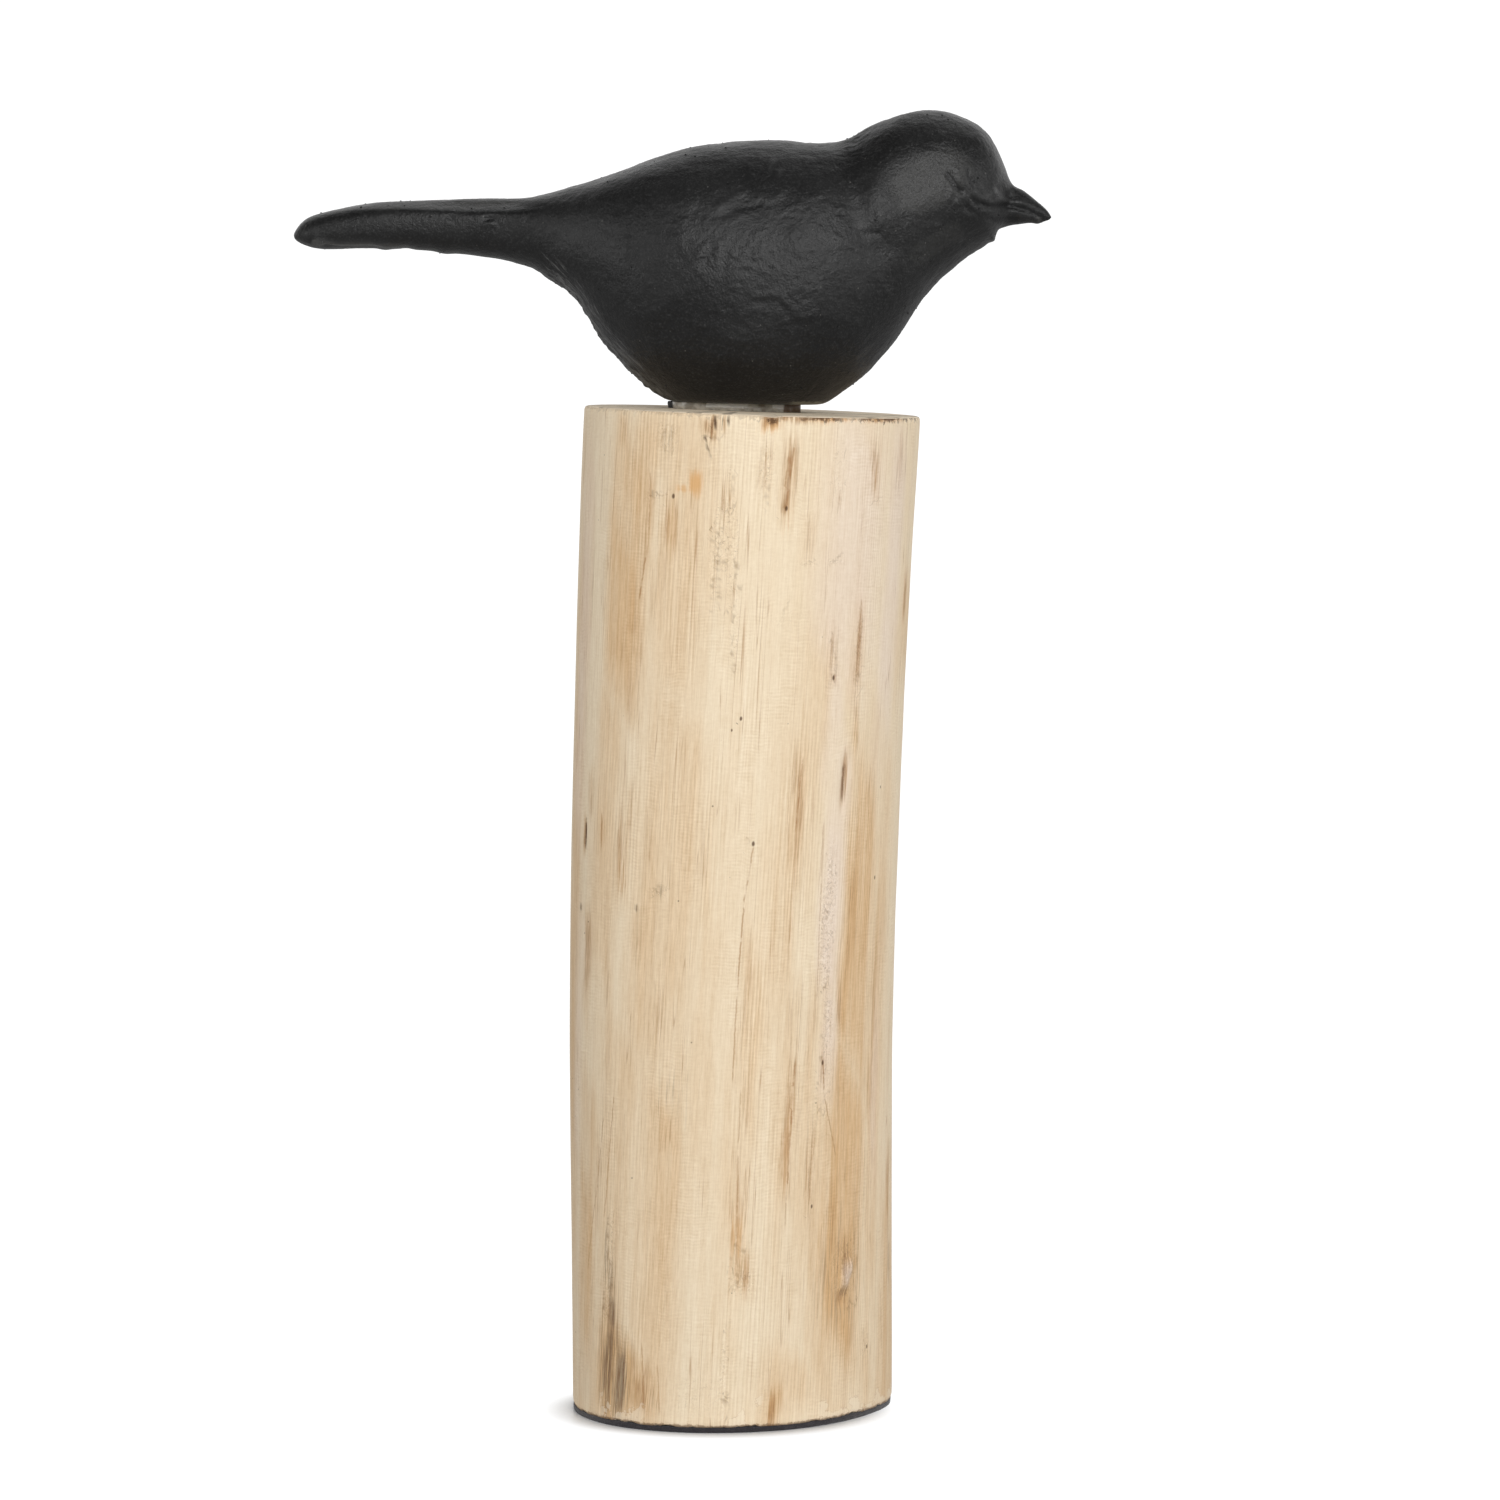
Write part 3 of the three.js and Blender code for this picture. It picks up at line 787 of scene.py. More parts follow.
def stainTrunk(mesh):
    rows = np.empty(len(mesh.vertices) * 3)
    mesh.attributes["grain"].data.foreach_get("vector", rows)
    grain = rows.reshape(-1, 3) / mm
    height = grain[:, 2]
    radius = np.hypot(grain[:, 0], grain[:, 1])
    turn = np.arctan2(grain[:, 0], -grain[:, 1])
    onBark = smoothstep(0.8, 0.88, radius / trunk["halfWidth"])
    # a slow wave makes the outlines uneven
    wander = np.sin(turn * 9 + height * 0.11) * np.sin(height * 0.043 + turn * 4)
    rng = np.random.default_rng(strewn["seed"])
    masks = {}
    for kind, marks in trunkMarks.items():
        spots = [(unwound(across, up), up, *rest) for across, up, *rest in marks] + strewnMarks(kind, rng)
        total = np.zeros(len(turn))
        for side, up, width, length, strength in spots:
            mark = (side, up, width * trunk["stainSpread"], length)
            fade = np.clip((1.2 - reachOf(mark, turn, height, radius, wander)) * 1.2, 0, 1)
            total = np.maximum(total, strength * fade)
        masks[kind] = total * onBark
    storeVectors(mesh, "stains", np.stack([masks["brown"], masks["grey"], masks["orange"]], axis=1))
    storeVectors(mesh, "wear", np.stack([masks["pale"], masks["flecks"], masks["tan"]], axis=1))

    cracks = [line for line in fineLines.values() if line[2] > crackWidth]
    hairs = [line for line in fineLines.values() if line[2] <= crackWidth]
    storeVectors(mesh, "cracks", lineRows(turn, height, cracks))
    storeVectors(mesh, "hairs", lineRows(turn, height, hairs))
    storeVectors(mesh, "tracks", lineRows(turn, height, trackStrokes()))
    storeVectors(mesh, "spots", spotRows(turn, height, darkSpots))

    raised = np.zeros(len(turn))
    for across, up, width, length, rise in trunkDents:
        reach = reachOf((unwound(across, up), up, width, length), turn, height, radius, wander * 0.4)
        raised += rise * np.exp(-reach ** 2)
    movePoints(mesh, pointsOf(mesh) + normalsOf(mesh) * (raised * onBark)[:, None] * mm)


wood = {
    "cream": (240, 221, 191), "tan": (218, 180, 133), "pink": (238, 219, 200),
    "brown": (174, 131, 88), "grey": (138, 120, 98), "orange": (220, 164, 96),
    "hair": (164, 116, 68), "thread": (120, 80, 45), "crack": (82, 55, 34), "track": (134, 100, 64),
    "burn": (78, 54, 36), "torn": (246, 230, 204),
    "endGrain": (250, 234, 208), "endDark": (206, 180, 148), "endPatch": (212, 200, 182),
    "roughness": 0.62, "shine": 0.2,
}
# How strongly each kind of stain covers the wood, from the first laid on to the last
stainStrengths = {"orange": 0.7, "brown": 0.75, "grey": 0.85}
# How far each kind of fine line darkens the wood
lineStrengths = {"fibre": 0.34, "thread": 0.33, "rows": 0.068, "ribs": 0.045, "grit": 0.1, "crossGrain": 0.14}
# The shave's rows round the trunk, the pitch of its ribs up it, and that of the rungs in the pale stripe
shave = {"rowsRound": 262, "ribPitch": 1.05, "rungPitch": 2.4166}
# How high the torn flakes and the dirt by the foot reach, and from where to where the flakes die out
footWear = {"flakes": 5.0, "flakesEnd": (14.0, 18.0), "dirt": 1.6}
# The growth rings' heart, from the log's axis, and their pitch
sawnEnd = {"toHeart": (3.0, -2.0, 0.0), "ringPitch": 2.6}

# The noises behind the wood's colours, given as those of its relief are
woodNoises = {
    "broad": (0.11, 2.0, 0.5, (1, 1, 0.07)),
    "streak": (0.34, 3.0, 0.6, (1, 1, 0.035)),
    "fibre": (1.5, 2.0, 0.6, (1, 1, 0.045)),
    "thread": (3.2, 2.0, 0.6, (1, 1, 0.07)),
    "fray": (1.1, 3.0, 0.7, (1, 1, 0.035)),
    "grit": (1.6, 3.0, 0.65),
    "patch": (0.11, 2.0, 0.5, (1, 1, 0.4)),
    "rowPatch": (0.07, 1.0, 0.5, (1, 1, 0.25)),
    "ribPatch": (0.1, 2.0, 0.5, (1, 1, 0.4)),
    "ribBreak": (1.0, 2.0, 0.6, (0.22, 0.22, 1.0)),
    "crossGrain": (1.3, 2.0, 0.6, (0.35, 0.35, 1.0)),
    "longHair": (0.3, 2.0, 0.5, (1, 1, 0.012)),
    "shortHair": (0.75, 2.0, 0.5, (1, 1, 0.02)),
    "curl": (0.6, 2.0, 0.5, (1, 1, 0.75)),
    "curlBreak": (0.75, 2.0, 0.6),
    "wobble": (0.3, 3.0, 0.6, (0.2, 0.2, 1)),
    "lineBreak": (0.5, 2.0, 0.6, (0.3, 0.3, 0.7)),
    "rim": (0.5, 4.0, 0.7),
    "flakeEdge": (0.14, 4.0, 0.65),
    "flakePatch": (0.035, 1.0, 0.5, (1, 1, 0)),
    "saw": (1.4, 3.0, 0.6, (1, 0.05, 0)),
}


def tint(board, base, amount):
    # darker and warmer by the amount, or lighter where it is negative
    parts = {0: 1 - amount * 0.75, 1: 1 - amount, 2: 1 - amount * 1.35}
    return board.blend(1.0, base, board.put("ShaderNodeCombineColor", {}, parts), "MULTIPLY")


def lay(board, base, mask, name):
    # one of the wood's colours over what is there
    return board.blend(mask, base, colour(*wood[name]))


def shavedWood(board, look):
    # the bare wood, with the even rows and cross ribs that a shave leaves, each in patches
    rowTurn = look.turn * shave["rowsRound"] + (look.streak - 0.5) * 12
    look.rows = rowTurn.math("SINE") * look.rowPatch.fade(0.48, 0.6)
    ribTurn = look.height * (2 * math.pi / shave["ribPitch"])
    ribTurn = ribTurn + (look.patch - 0.5) * 24 + (look.fray - 0.5) * 5
    ribs = ribTurn.math("SINE") * 0.5 + (look.ribBreak - 0.5) * 4
    look.ribs = ribs * look.ribPatch.fade(0.47, 0.62)

    band = look.wear.part("Z")
    halo = look.stains.part("X") * (0.25 + look.streak * 0.4)
    tan = (look.broad - 0.5) * 0.5 + (look.streak - 0.5) * (band * 0.7 + 0.35) + band * 0.75 + halo + 0.06
    tan = tan.math("ADD", 0.0, clamp=True)
    base = lay(board, colour(*wood["cream"]), tan, "tan")
    base = lay(board, base, look.wear.part("X") * 0.85, "pink")
    # the lines show most where the wood is tan
    lines = ((look.fibre - 0.5) * lineStrengths["fibre"] + (look.thread - 0.5) * lineStrengths["thread"]
             + look.rows * lineStrengths["rows"])
    across = (look.ribs * lineStrengths["ribs"] + (look.grit - 0.5) * lineStrengths["grit"]
              + (look.crossGrain - 0.5) * lineStrengths["crossGrain"])
    base = tint(board, base, lines * tan.fade(0.0, 0.6, 0.7, 1.3) + across)
    # brown hairlines
    longHair = look.longHair.veins(0.009) * look.patch.fade(0.42, 0.6) * 0.5
    shortHair = look.shortHair.veins(0.02) * look.fray.fade(0.45, 0.65) * tan.fade(0.1, 0.6) * 0.4
    return lay(board, base, longHair.most(shortHair), "hair")


def stainedWood(board, look, base):
    # stains break up along the fibres towards their edges, and their threads are darker
    soaked = {}
    for kind, axis in (("brown", "X"), ("grey", "Y"), ("orange", "Z")):
        mask = look.stains.part(axis)
        soaked[kind] = mask * ((look.fray - 0.5) * 4.5 + mask).fade(0.0, 1.0)
    for kind, strength in stainStrengths.items():
        base = lay(board, base, soaked[kind] * strength, kind)
    darker = (look.fray * 0.4 + look.thread * 0.6).fade(0.46, 0.6)
    base = lay(board, base, (soaked["brown"] * 0.4).most(soaked["grey"] * 0.65) * darker, "thread")
    burn = look.stains.part("X").fade(0.72, 1.0) * (look.grit * 0.5 + look.fray * 0.5).fade(0.42, 0.52)
    look.brown = soaked["brown"]
    return lay(board, base, burn * 0.8, "burn")


def markedWood(board, look, base):
    # insect tracks and torn fibres: short curls, rungs across the pale stripe, and rough grain
    torn = look.wear.part("Y")
    curls = look.curl.veins(0.03) * look.curlBreak.fade(0.5, 0.58)
    rungTurn = look.height * (2 * math.pi / shave["rungPitch"]) + (look.curl - 0.5) * 16
    rungs = rungTurn.math("SINE").fade(0.72, 0.95) * look.turn.fade(0.3, 0.42)
    rungs = rungs * torn.fade(0.3, 0.9) * look.fray.fade(0.42, 0.58) * 0.4
    scratch = (curls * torn.fade(0.05, 0.7) * 0.5).most(rungs)
    look.roughened = torn.fade(0.1, 0.8) * (look.grit - 0.5)

    # cracks, fine lines, tracks and dark spots, which wander a little beside their stored places
    wobble = (look.wobble - 0.5) * 0.7
    broken = look.lineBreak.fade(0.36, 0.5, 0.35, 1.0)

    def drawn(name):
        stored = board.stored(name)
        ratio = (stored.part("X") + wobble).size() / stored.part("Y").most(0.05)
        return ratio.fade(0.4, 1.15, 1.0, 0.0) * stored.part("Z") * broken

    base = lay(board, base, drawn("hairs") * 0.8, "hair")
    base = lay(board, base, scratch.most(drawn("tracks")) * 0.8, "track")
    spots = board.stored("spots")
    reach = spots.vector("MULTIPLY", (1, 0.6, 0)).vector("LENGTH") + wobble * 0.3
    spot = (reach / spots.part("Z").most(0.05)).fade(0.4, 1.05, 0.85, 0.0)
    spot = spot.most(board.specks(look.grain, 0.13, (0.02, 0.05), (0.6, 0.65), 0.6))
    base = lay(board, base, drawn("cracks").most(spot), "crack")
    return tint(board, base, look.roughened * 0.5)


def edgedWood(board, look, base, fromTop):
    # scorched top edge, dirty foot edge and the flakes torn off above it
    rimLine = (fromTop + (look.rim - 0.5) * 8.0).fade(0.4, 1.2, 1.0, 0.0)
    rimZone = look.turn.fade(-0.45, -0.1, 0.3, 1.0) * (1 - look.turn.fade(1.2, 2.0) * 0.5)
    base = lay(board, base, rimLine * rimZone * look.broad.fade(0.35, 0.5, 0.4, 1.0) * 0.75, "burn")
    flakeEdge = look.height + (look.flakeEdge - 0.5) * 34 - footWear["flakes"]
    flakeZone = look.flakePatch.fade(0.44, 0.5) * look.height.fade(*footWear["flakesEnd"], 1.0, 0.0)
    base = lay(board, base, flakeEdge.fade(-0.4, 0.1, 1.0, 0.0) * flakeZone * 0.45, "torn")
    base = lay(board, base, flakeEdge.size().fade(0.15, 0.5, 1.0, 0.0) * flakeZone * 0.25, "hair")
    footLine = (look.height - footWear["dirt"] + (look.rim - 0.5) * 3.0).fade(0.2, 0.9, 1.0, 0.0)
    return lay(board, base, footLine * 0.6, "thread")


def sawnWood(board, look):
    # the sawn ends: growth rings, cracks from the heart and saw lines
    flat = look.grain.vector("MULTIPLY", (1, 1, 0))
    heart = flat.vector("ADD", sawnEnd["toHeart"])
    reach = heart.vector("LENGTH") + (board.noise(flat, 0.06) - 0.5) * 9
    rings = (reach * (2 * math.pi / sawnEnd["ringPitch"])).math("SINE") * 0.5 + 0.5
    around = heart.part("Y").math("ARCTAN2", heart.part("X"))
    rays = board.noise(board.join(around * 22, reach * 0.03, 0.0), 1.0).fade(0.6, 0.8)
    base = lay(board, colour(*wood["endGrain"]), rings ** 2 * 0.3 + rays * 0.2, "endDark")
    base = lay(board, base, look.saw.fade(0.45, 0.75) * 0.2, "endDark")
    base = lay(board, base, look.patch.fade(0.5, 0.75) * 0.3, "endPatch")
    checks = board.noise(board.join(around * 3.2, 0.0, 0.0), 1.0, 1.0).veins(0.008)
    return lay(board, base, checks * reach.fade(18.0, 30.0) * 0.5, "crack")


def woodMaterial(topMiddle, slope):
    material, board = newMaterial("peeled and sanded trunk")
    grain = board.stored("grain").vector("SCALE", scale=1 / mm)
    look = SimpleNamespace(**{name: board.noise(grain, *values) for name, values in woodNoises.items()})
    look.grain, look.height = grain, grain.part("Z")
    look.turn = grain.part("X").math("ARCTAN2", -grain.part("Y"))
    look.stains, look.wear = board.stored("stains"), board.stored("wear")
    sawn = board.stored("sawnEnd", "Fac")
    place = board.placeInMm()
    fromTop = (topMiddle / mm) + place.part("X") * slope - place.part("Z")

    bark = markedWood(board, look, stainedWood(board, look, shavedWood(board, look)))
    bark = edgedWood(board, look, bark, fromTop)
    base = board.blend(sawn, bark, sawnWood(board, look))
    roughness = wood["roughness"] + (look.fibre - 0.5) * 0.3 + look.brown * 0.1 + sawn * 0.2
    relief = (look.fibre * 0.6 + look.thread * 0.3 + look.rows * 0.05) * (1 - sawn)
    relief = relief + look.saw * sawn * 0.8
    bumps = [
        ((look.ribs * 0.4 + (look.crossGrain - 0.5) * 0.5) * (1 - sawn), 0.5, 0.12),
        (relief + look.roughened * 2, 0.6, 0.12),
    ]
    inputs = {"Base Color": base, "Roughness": roughness, "Specular IOR Level": wood["shine"]}
    finishMaterial(board, inputs, bumps)
    return material


def makeTrunk():
    topMiddle, slope = levelOf("log", True, trunk["levelReach"] * mm)
    finish = woodMaterial(topMiddle, slope)
    piece = newPiece("peeled_log", bpy.data.meshes.new("peeled_log"))
    lengths = {
        "Bow start": "bowStart", "Bow reach": "bowReach", "Wind ends": "windEnds",
        "Probe inset": "probeInset",
        "Rim rounding": "rimRounding", "Rim chips": "rimChips", "Foot chips": "footChips",
        "Ridge depth": "ridgeDepth", "Lump depth": "lumpDepth", "Groove depth": "grooveDepth",
        "Saw mark depth": "sawMarkDepth",
    }
    addModifierTree(piece, trunkTree(), {
        "Rough log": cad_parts["log"], "Sides": trunk["sides"], "Rows": trunk["rows"],
        "Cap rings": trunk["capRings"], "Foot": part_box("log")[0].z, "Top": topMiddle, "Top slope": slope,
        "Bow curve": trunk["bowCurve"], "Wind at foot": math.radians(trunk["windAtFoot"]),
        "Facet smoothing": trunk["facetSmoothing"], "Finish": finish,
        **{label: trunk[name] * mm for label, name in lengths.items()},
    })
    settle(piece)
    stainTrunk(piece.data)
    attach(piece, "root")
    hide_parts("log")
    print("log made:", len(piece.data.polygons), "faces")


makeTrunk()

# The carved bird

carving = {
    "voxel": 0.71,
    "evenings": 14,              # passes that even the faceted solid out
    "broadLumps": 0.85, "handLumps": 0.24, "fineLumps": 0.12, "smallLumps": 0.09,
    "strings": 0.8,              # how far torn fibres stand out down the edge under the tail
    "gritDensity": 9000.0, "gritSize": 0.26, "gritSeed": 4,   # grains in a square metre, and their radius
    "gritClear": 2.0,            # how far above the sole the grains start
}

# Marks left by hand: height, half width and the points they run through, as (x, z) seen from the side.
# A negative height is a groove. Both sides of the bird have these.
faceMarks = {
    "cheekFlat": (-0.7, 6.0, [(51.0, 368.0), (57.0, 372.0)]),
    "shoulderBand": (0.5, 4.0, [(42.0, 366.0), (44.0, 358.0)]),
    "neckHollow": (-1.2, 6.0, [(36.5, 381.0), (36.5, 369.0), (38.5, 359.0), (42.0, 350.0)]),
    "eyeMound": (0.35, 2.1, [(67.2, 371.6), (68.0, 369.2)]),
    "eyeCreaseBack": (-0.5, 0.6, [(64.2, 371.4), (65.4, 369.2), (66.8, 367.1), (68.5, 366.0)]),
    "eyeCreaseFront": (-0.55, 0.6, [(70.2, 372.5), (70.6, 370.6), (71.2, 368.9), (72.0, 368.0)]),
    "lidUnder": (0.3, 0.8, [(65.4, 366.0), (67.2, 364.8), (69.2, 364.3)]),
    "blobOne": (0.35, 0.9, [(64.8, 364.1)]),
    "blobTwo": (0.4, 0.9, [(67.0, 362.8)]),
    "blobThree": (0.5, 1.0, [(72.6, 365.4)]),
    "blobFour": (0.4, 0.9, [(74.6, 367.0)]),
    "blobFive": (0.5, 1.0, [(76.6, 364.9), (78.0, 365.6)]),
    "wrinkleOne": (-0.35, 0.7, [(71.7, 363.6), (74.1, 360.8)]),
    "wrinkleTwo": (-0.3, 0.7, [(69.6, 361.4), (73.5, 359.0)]),
    "gape": (-0.7, 0.75, [(74.5, 362.5), (76.4, 361.6), (79.8, 361.8), (83.2, 361.9), (86.7, 361.1),
                         (90.1, 359.8), (92.6, 358.6)]),
    "gapeRidge": (0.45, 0.75, [(74.3, 363.8), (76.4, 363.0), (79.8, 363.4), (82.9, 363.4), (87.0, 362.6)]),
    "lowerLip": (0.35, 0.9, [(77.6, 360.3), (81.0, 360.5), (85.0, 360.2), (88.8, 359.0)]),
    "chinLine": (-0.45, 0.8, [(76.4, 358.0), (80.5, 358.4), (85.0, 358.2)]),
    "beakHollow": (-0.8, 1.7, [(80.5, 366.9), (82.2, 365.6), (83.4, 364.6)]),
    "chinFold": (0.35, 0.9, [(76.4, 356.8), (80.2, 356.2)]),
    "tailCrease": (-0.06, 0.8, [(-118.9, 359.2), (-112.2, 360.4), (-99.8, 360.6), (-89.3, 360.0),
                                (-77.9, 359.4), (-64.6, 359.7)]),
    "tailBevel": (0.6, 0.9, [(-122.7, 351.4), (-117.0, 350.6), (-109.4, 351.0), (-102.7, 350.6),
                             (-97.4, 349.6)]),
    "tailGroove": (-0.7, 0.9, [(-120.8, 350.0), (-112.2, 349.4), (-104.6, 349.5)]),
}

# These are only on the bird's right side, and its left has a plainer, lumpy flank.
flankMarks = {
    "ridgeByBack": (0.28, 1.2, [(-3.6, 361.3), (0.1, 363.7), (3.9, 365.3)]),
    "shadeByBack": (-0.22, 1.2, [(-2.4, 358.6), (2.6, 361.2), (8.0, 361.6)]),
    "lumpByBack": (0.2, 1.2, [(8.0, 364.8), (11.5, 363.4), (15.0, 365.8)]),
    "sparkByBack": (0.4, 0.8, [(12.4, 374.7), (11.5, 373.4)]),
    "sparkBelow": (0.35, 0.8, [(14.6, 371.6)]),
    "strokeOne": (0.2, 0.8, [(-10.6, 345.5), (-7.5, 349.9)]),
    "strokeTwo": (-0.18, 0.8, [(-8.2, 343.8), (-5.6, 349.4)]),
    "strokeThree": (0.16, 0.8, [(-4.0, 344.6), (-3.0, 351.4)]),
    "strokeFour": (-0.14, 0.8, [(-1.6, 343.0), (-0.8, 348.6)]),
    "rippleOne": (0.16, 0.9, [(6.6, 335.2), (14.5, 335.6), (18.1, 331.8)]),
    "rippleTwo": (-0.14, 1.0, [(5.0, 333.2), (14.0, 333.4), (17.0, 330.0)]),
    "arcByBreast": (0.22, 0.8, [(30.4, 352.8), (35.0, 350.2), (38.5, 348.1)]),
    "notchByNeck": (-0.25, 0.9, [(38.8, 353.4), (41.1, 354.0), (44.0, 353.6)]),
    "dimple": (-0.4, 1.0, [(-30.1, 353.4)]),
    "tailNick": (-0.5, 0.8, [(-83.9, 358.4), (-83.0, 357.8)]),
    "tailNickLip": (0.5, 0.8, [(-84.2, 357.2)]),
    "tailPit": (-0.5, 0.8, [(-73.0, 357.8), (-70.7, 358.0)]),
    "tailPitLip": (0.45, 0.8, [(-72.6, 356.7), (-70.9, 356.8)]),
}

# These change the outline, and push the skin out or in wherever they pass.
outlineMarks = {
    "beakRidge": (0.55, 2.6, [(87.6, 366.3), (90.4, 364.3), (93.4, 361.0)]),
    "throatNub": (0.9, 1.1, [(78.0, 352.3)]),
    "throatDent": (-0.5, 1.2, [(80.4, 354.6)]),
    "tailStepOne": (0.45, 2.2, [(-103.5, 350.0)]),
    "tailDentOne": (-0.4, 2.2, [(-97.0, 349.0)]),
    "tailStepTwo": (0.5, 2.4, [(-85.6, 347.8)]),
    "tailTipBump": (0.4, 1.2, [(-126.5, 353.5)]),
    "beakTipUnder": (0.55, 1.3, [(91.6, 357.6)]),
}

# Painted highlights, where the paint is made paler as a stand-in for light on the cheek, the tail's slope and
# underside, the beak's tip and the throat: strength, half width and a line, as (x, z)
paintedHighlights = {
    "cheek": (0.4, 7.5, [(55.0, 367.0), (64.0, 371.0)]),
    "tailUnder": (1.3, 1.05, [(-124.0, 351.0), (-117.0, 349.9), (-109.4, 350.2), (-102.7, 350.0),
                              (-97.0, 349.3)]),
    "tailSlope": (0.6, 1.3, [(-110.0, 362.0), (-92.0, 362.3), (-76.0, 362.2), (-64.0, 363.0)]),
    "beakTip": (0.7, 0.9, [(92.2, 358.4)]),
    "throat": (0.2, 3.0, [(56.0, 347.5), (66.0, 354.0)]),
}

# How much narrower the tail's top is, over what height, and between which places along X that sets in
tailBevel = {"pinch": 0.34, "rise": 3.4, "from": -54.0, "full": -68.0}

# The torn strip down the edge under the tail, as (x, z), which gets a painted rim highlight
tornStrip = [(-56.0, 345.8), (-46.6, 336.9), (-40.0, 327.0), (-30.7, 316.0), (-24.7, 307.8), (-19.9, 303.9)]

# Small pits with a raised lip, as (x, z), on the right side too. Each has parts of one half width: a height,
# and how far along X and up from the pit's middle the part lies.
pits = [
    (-9.3, 341.1), (7.5, 345.8), (9.7, 341.5), (4.6, 343.2), (3.1, 357.8), (12.3, 348.1), (16.3, 359.1),
    (26.9, 364.0), (32.6, 360.0), (61.6, 355.2), (68.7, 351.2), (56.1, 347.8), (32.9, 360.3), (-18.6, 355.2),
    (1.0, 346.5), (6.2, 349.6), (-7.0, 353.0), (19.5, 353.5), (24.0, 348.0),
]
pitParts = ((-0.22, 0, -0.4), (0.25, -0.3, 0.7))
pitWidth = 0.8

# How the marks are put on, from nothing to full where there are two numbers
spread = {
    "sideGain": 1.6,             # how soon a mark gains its height where the skin turns to the side
    "broad": 1.5,                # marks of at least this half width don't change the paint; narrower ones get painted shade in their grooves and painted highlights on their ridges
    "inPaint": 0.5,              # the height of a mark that changes it in full
    "stripWidth": (4.6, 1.0), "stripStart": (-59, -50), "stripReach": (24, 8),
    "highlightEdge": (1.25, 0.75),   # where a painted highlight fades out, as shares of the half width
}

paint = {
    # the darkest colour is painted shade; the light greys and the light specks are painted highlights, rim
    # light and glints, and the olive grey a painted reflection on the sole's front edge
    "coat": (15, 15, 15), "worn": (22, 22, 22), "peeling": (34, 34, 34), "glintSpeck": (104, 102, 98),
    "paintedShade": (5, 5, 6), "gritAndHighlight": (54, 54, 54), "rimHighlight": (86, 86, 85), "highlightPaint": (92, 91, 88),
    "edgeReflection": (112, 110, 98),
    "roughness": 0.39, "shine": 0.35,
    "belly": (306.0, 328.0),      # painted shade: the paint is darkest up to the first height, where the belly faces down, and plain above the second
    "paleEdge": 1.3,              # how far above the sole the painted reflection on the front edge reaches
    "reflectionFrom": (16.5, 19.5),     # where along X it starts
}
# The sole's height at the log's axis and its rise along X, and the way that the torn strip runs, forward and
# down, as (x, z)
sole = {"level": 302.6, "rise": -0.024}
stripWay = (0.645, -0.764)


def paintMaterial():
    material, board = newMaterial("matt black paint")
    place = board.placeInMm()
    across, side, up = (place.part(axis) for axis in "XYZ")
    cloud = board.noise(place, 0.06, 3.0, 0.55)
    grit = board.noise(place, 1.5, 3.0, 0.65)
    peel = board.noise(place, 0.6, 3.0, 0.6)
    # the stored marks give painted shade and highlights, the torn strip a painted rim highlight, and the
    # listed places painted highlights
    worked = board.stored("worked")
    marks, torn, wear = (worked.part(axis) for axis in "XYZ")

    def lay(base, mask, name):
        return board.blend(mask, base, colour(*paint[name]))

    base = lay(colour(*paint["coat"]), cloud.fade(0.35, 0.7), "worn")
    base = lay(base, peel.fade(0.55, 0.75) * 0.5, "peeling")
    # painted shade towards the belly and in the grooves, and painted highlights on the listed places, on
    # ridges and along the torn strip
    base = lay(base, up.fade(*paint["belly"], 1.0, 0.0) * 0.9, "paintedShade")
    # painted highlights on the listed places, broken up by the cloud and the grit
    highlightPaint = wear * (cloud * 0.4 + grit * 0.6).fade(0.35, 0.6, 0.35, 1.0)
    base = lay(base, highlightPaint * 0.5, "highlightPaint")
    base = lay(base, grit.fade(0.5, 0.72) * 0.5, "gritAndHighlight")
    # painted highlights on the narrow ridges and painted shade in the narrow grooves
    base = lay(base, marks.most(0.0) * 0.5, "gritAndHighlight")
    base = lay(base, (-marks).most(0.0), "paintedShade")
    # a painted rim highlight along the torn strip, broken up along its fibres
    along = across * stripWay[0] + up * stripWay[1]
    beside = up * stripWay[0] - across * stripWay[1]
    strings = board.noise(board.join(along * 0.1, beside * 0.9, side * 0.9), 1.0, 3.0, 0.65)
    rimHighlightMask = (strings + (torn - 1.0) * 0.16).fade(0.42, 0.6) * torn.fade(0.0, 0.3)
    base = lay(base, rimHighlightMask, "rimHighlight")
    # painted glints: light specks strewn over the paint
    base = lay(base, board.specks(place, 0.45, (0.06, 0.13), (0.84, 0.87)) * 0.5, "glintSpeck")
    # a painted reflection on the flat facet along the front of the sole
    nearSole = up - across * sole["rise"] - (sole["level"] + paint["paleEdge"]) + (peel - 0.5) * 2.0
    paleEdge = nearSole.fade(0.0, 0.7, 1.0, 0.0) * across.fade(*paint["reflectionFrom"])
    base = lay(base, paleEdge * 0.8, "edgeReflection")

    roughness = paint["roughness"] + (cloud - 0.5) * 0.25 + (grit - 0.5) * 0.2
    inputs = {"Base Color": base, "Roughness": roughness, "Specular IOR Level": paint["shine"]}
    finishMaterial(board, inputs, [(peel, 0.6, 0.38), (grit, 0.85, 0.2)])
    return material


# The noises behind the lumps: lumps in a millimetre, layers, roughness, and how far each is squeezed
lumpNoises = {
    "broad": (0.045, 2.0, 0.5),
    "hand": (0.14, 2.0, 0.5, (0.9, 1, 1.1)),
    "fine": (0.4, 2.0, 0.55),
    "small": (0.8, 1.0, 0.5),
    "knobs": (0.6, 2.0, 0.5),
}
# The smooth cheek and the rough flank, as ovals seen from the side: middle (x, z) and half sizes
ovals = {"cheek": ((52, 371), (14, 10)), "flank": ((14, 348), (26, 18))}


def ovalReach(across, up, name):
    (middleX, middleZ), (halfX, halfZ) = ovals[name]
    return ((across - middleX) / halfX) ** 2 + ((up - middleZ) / halfZ) ** 2


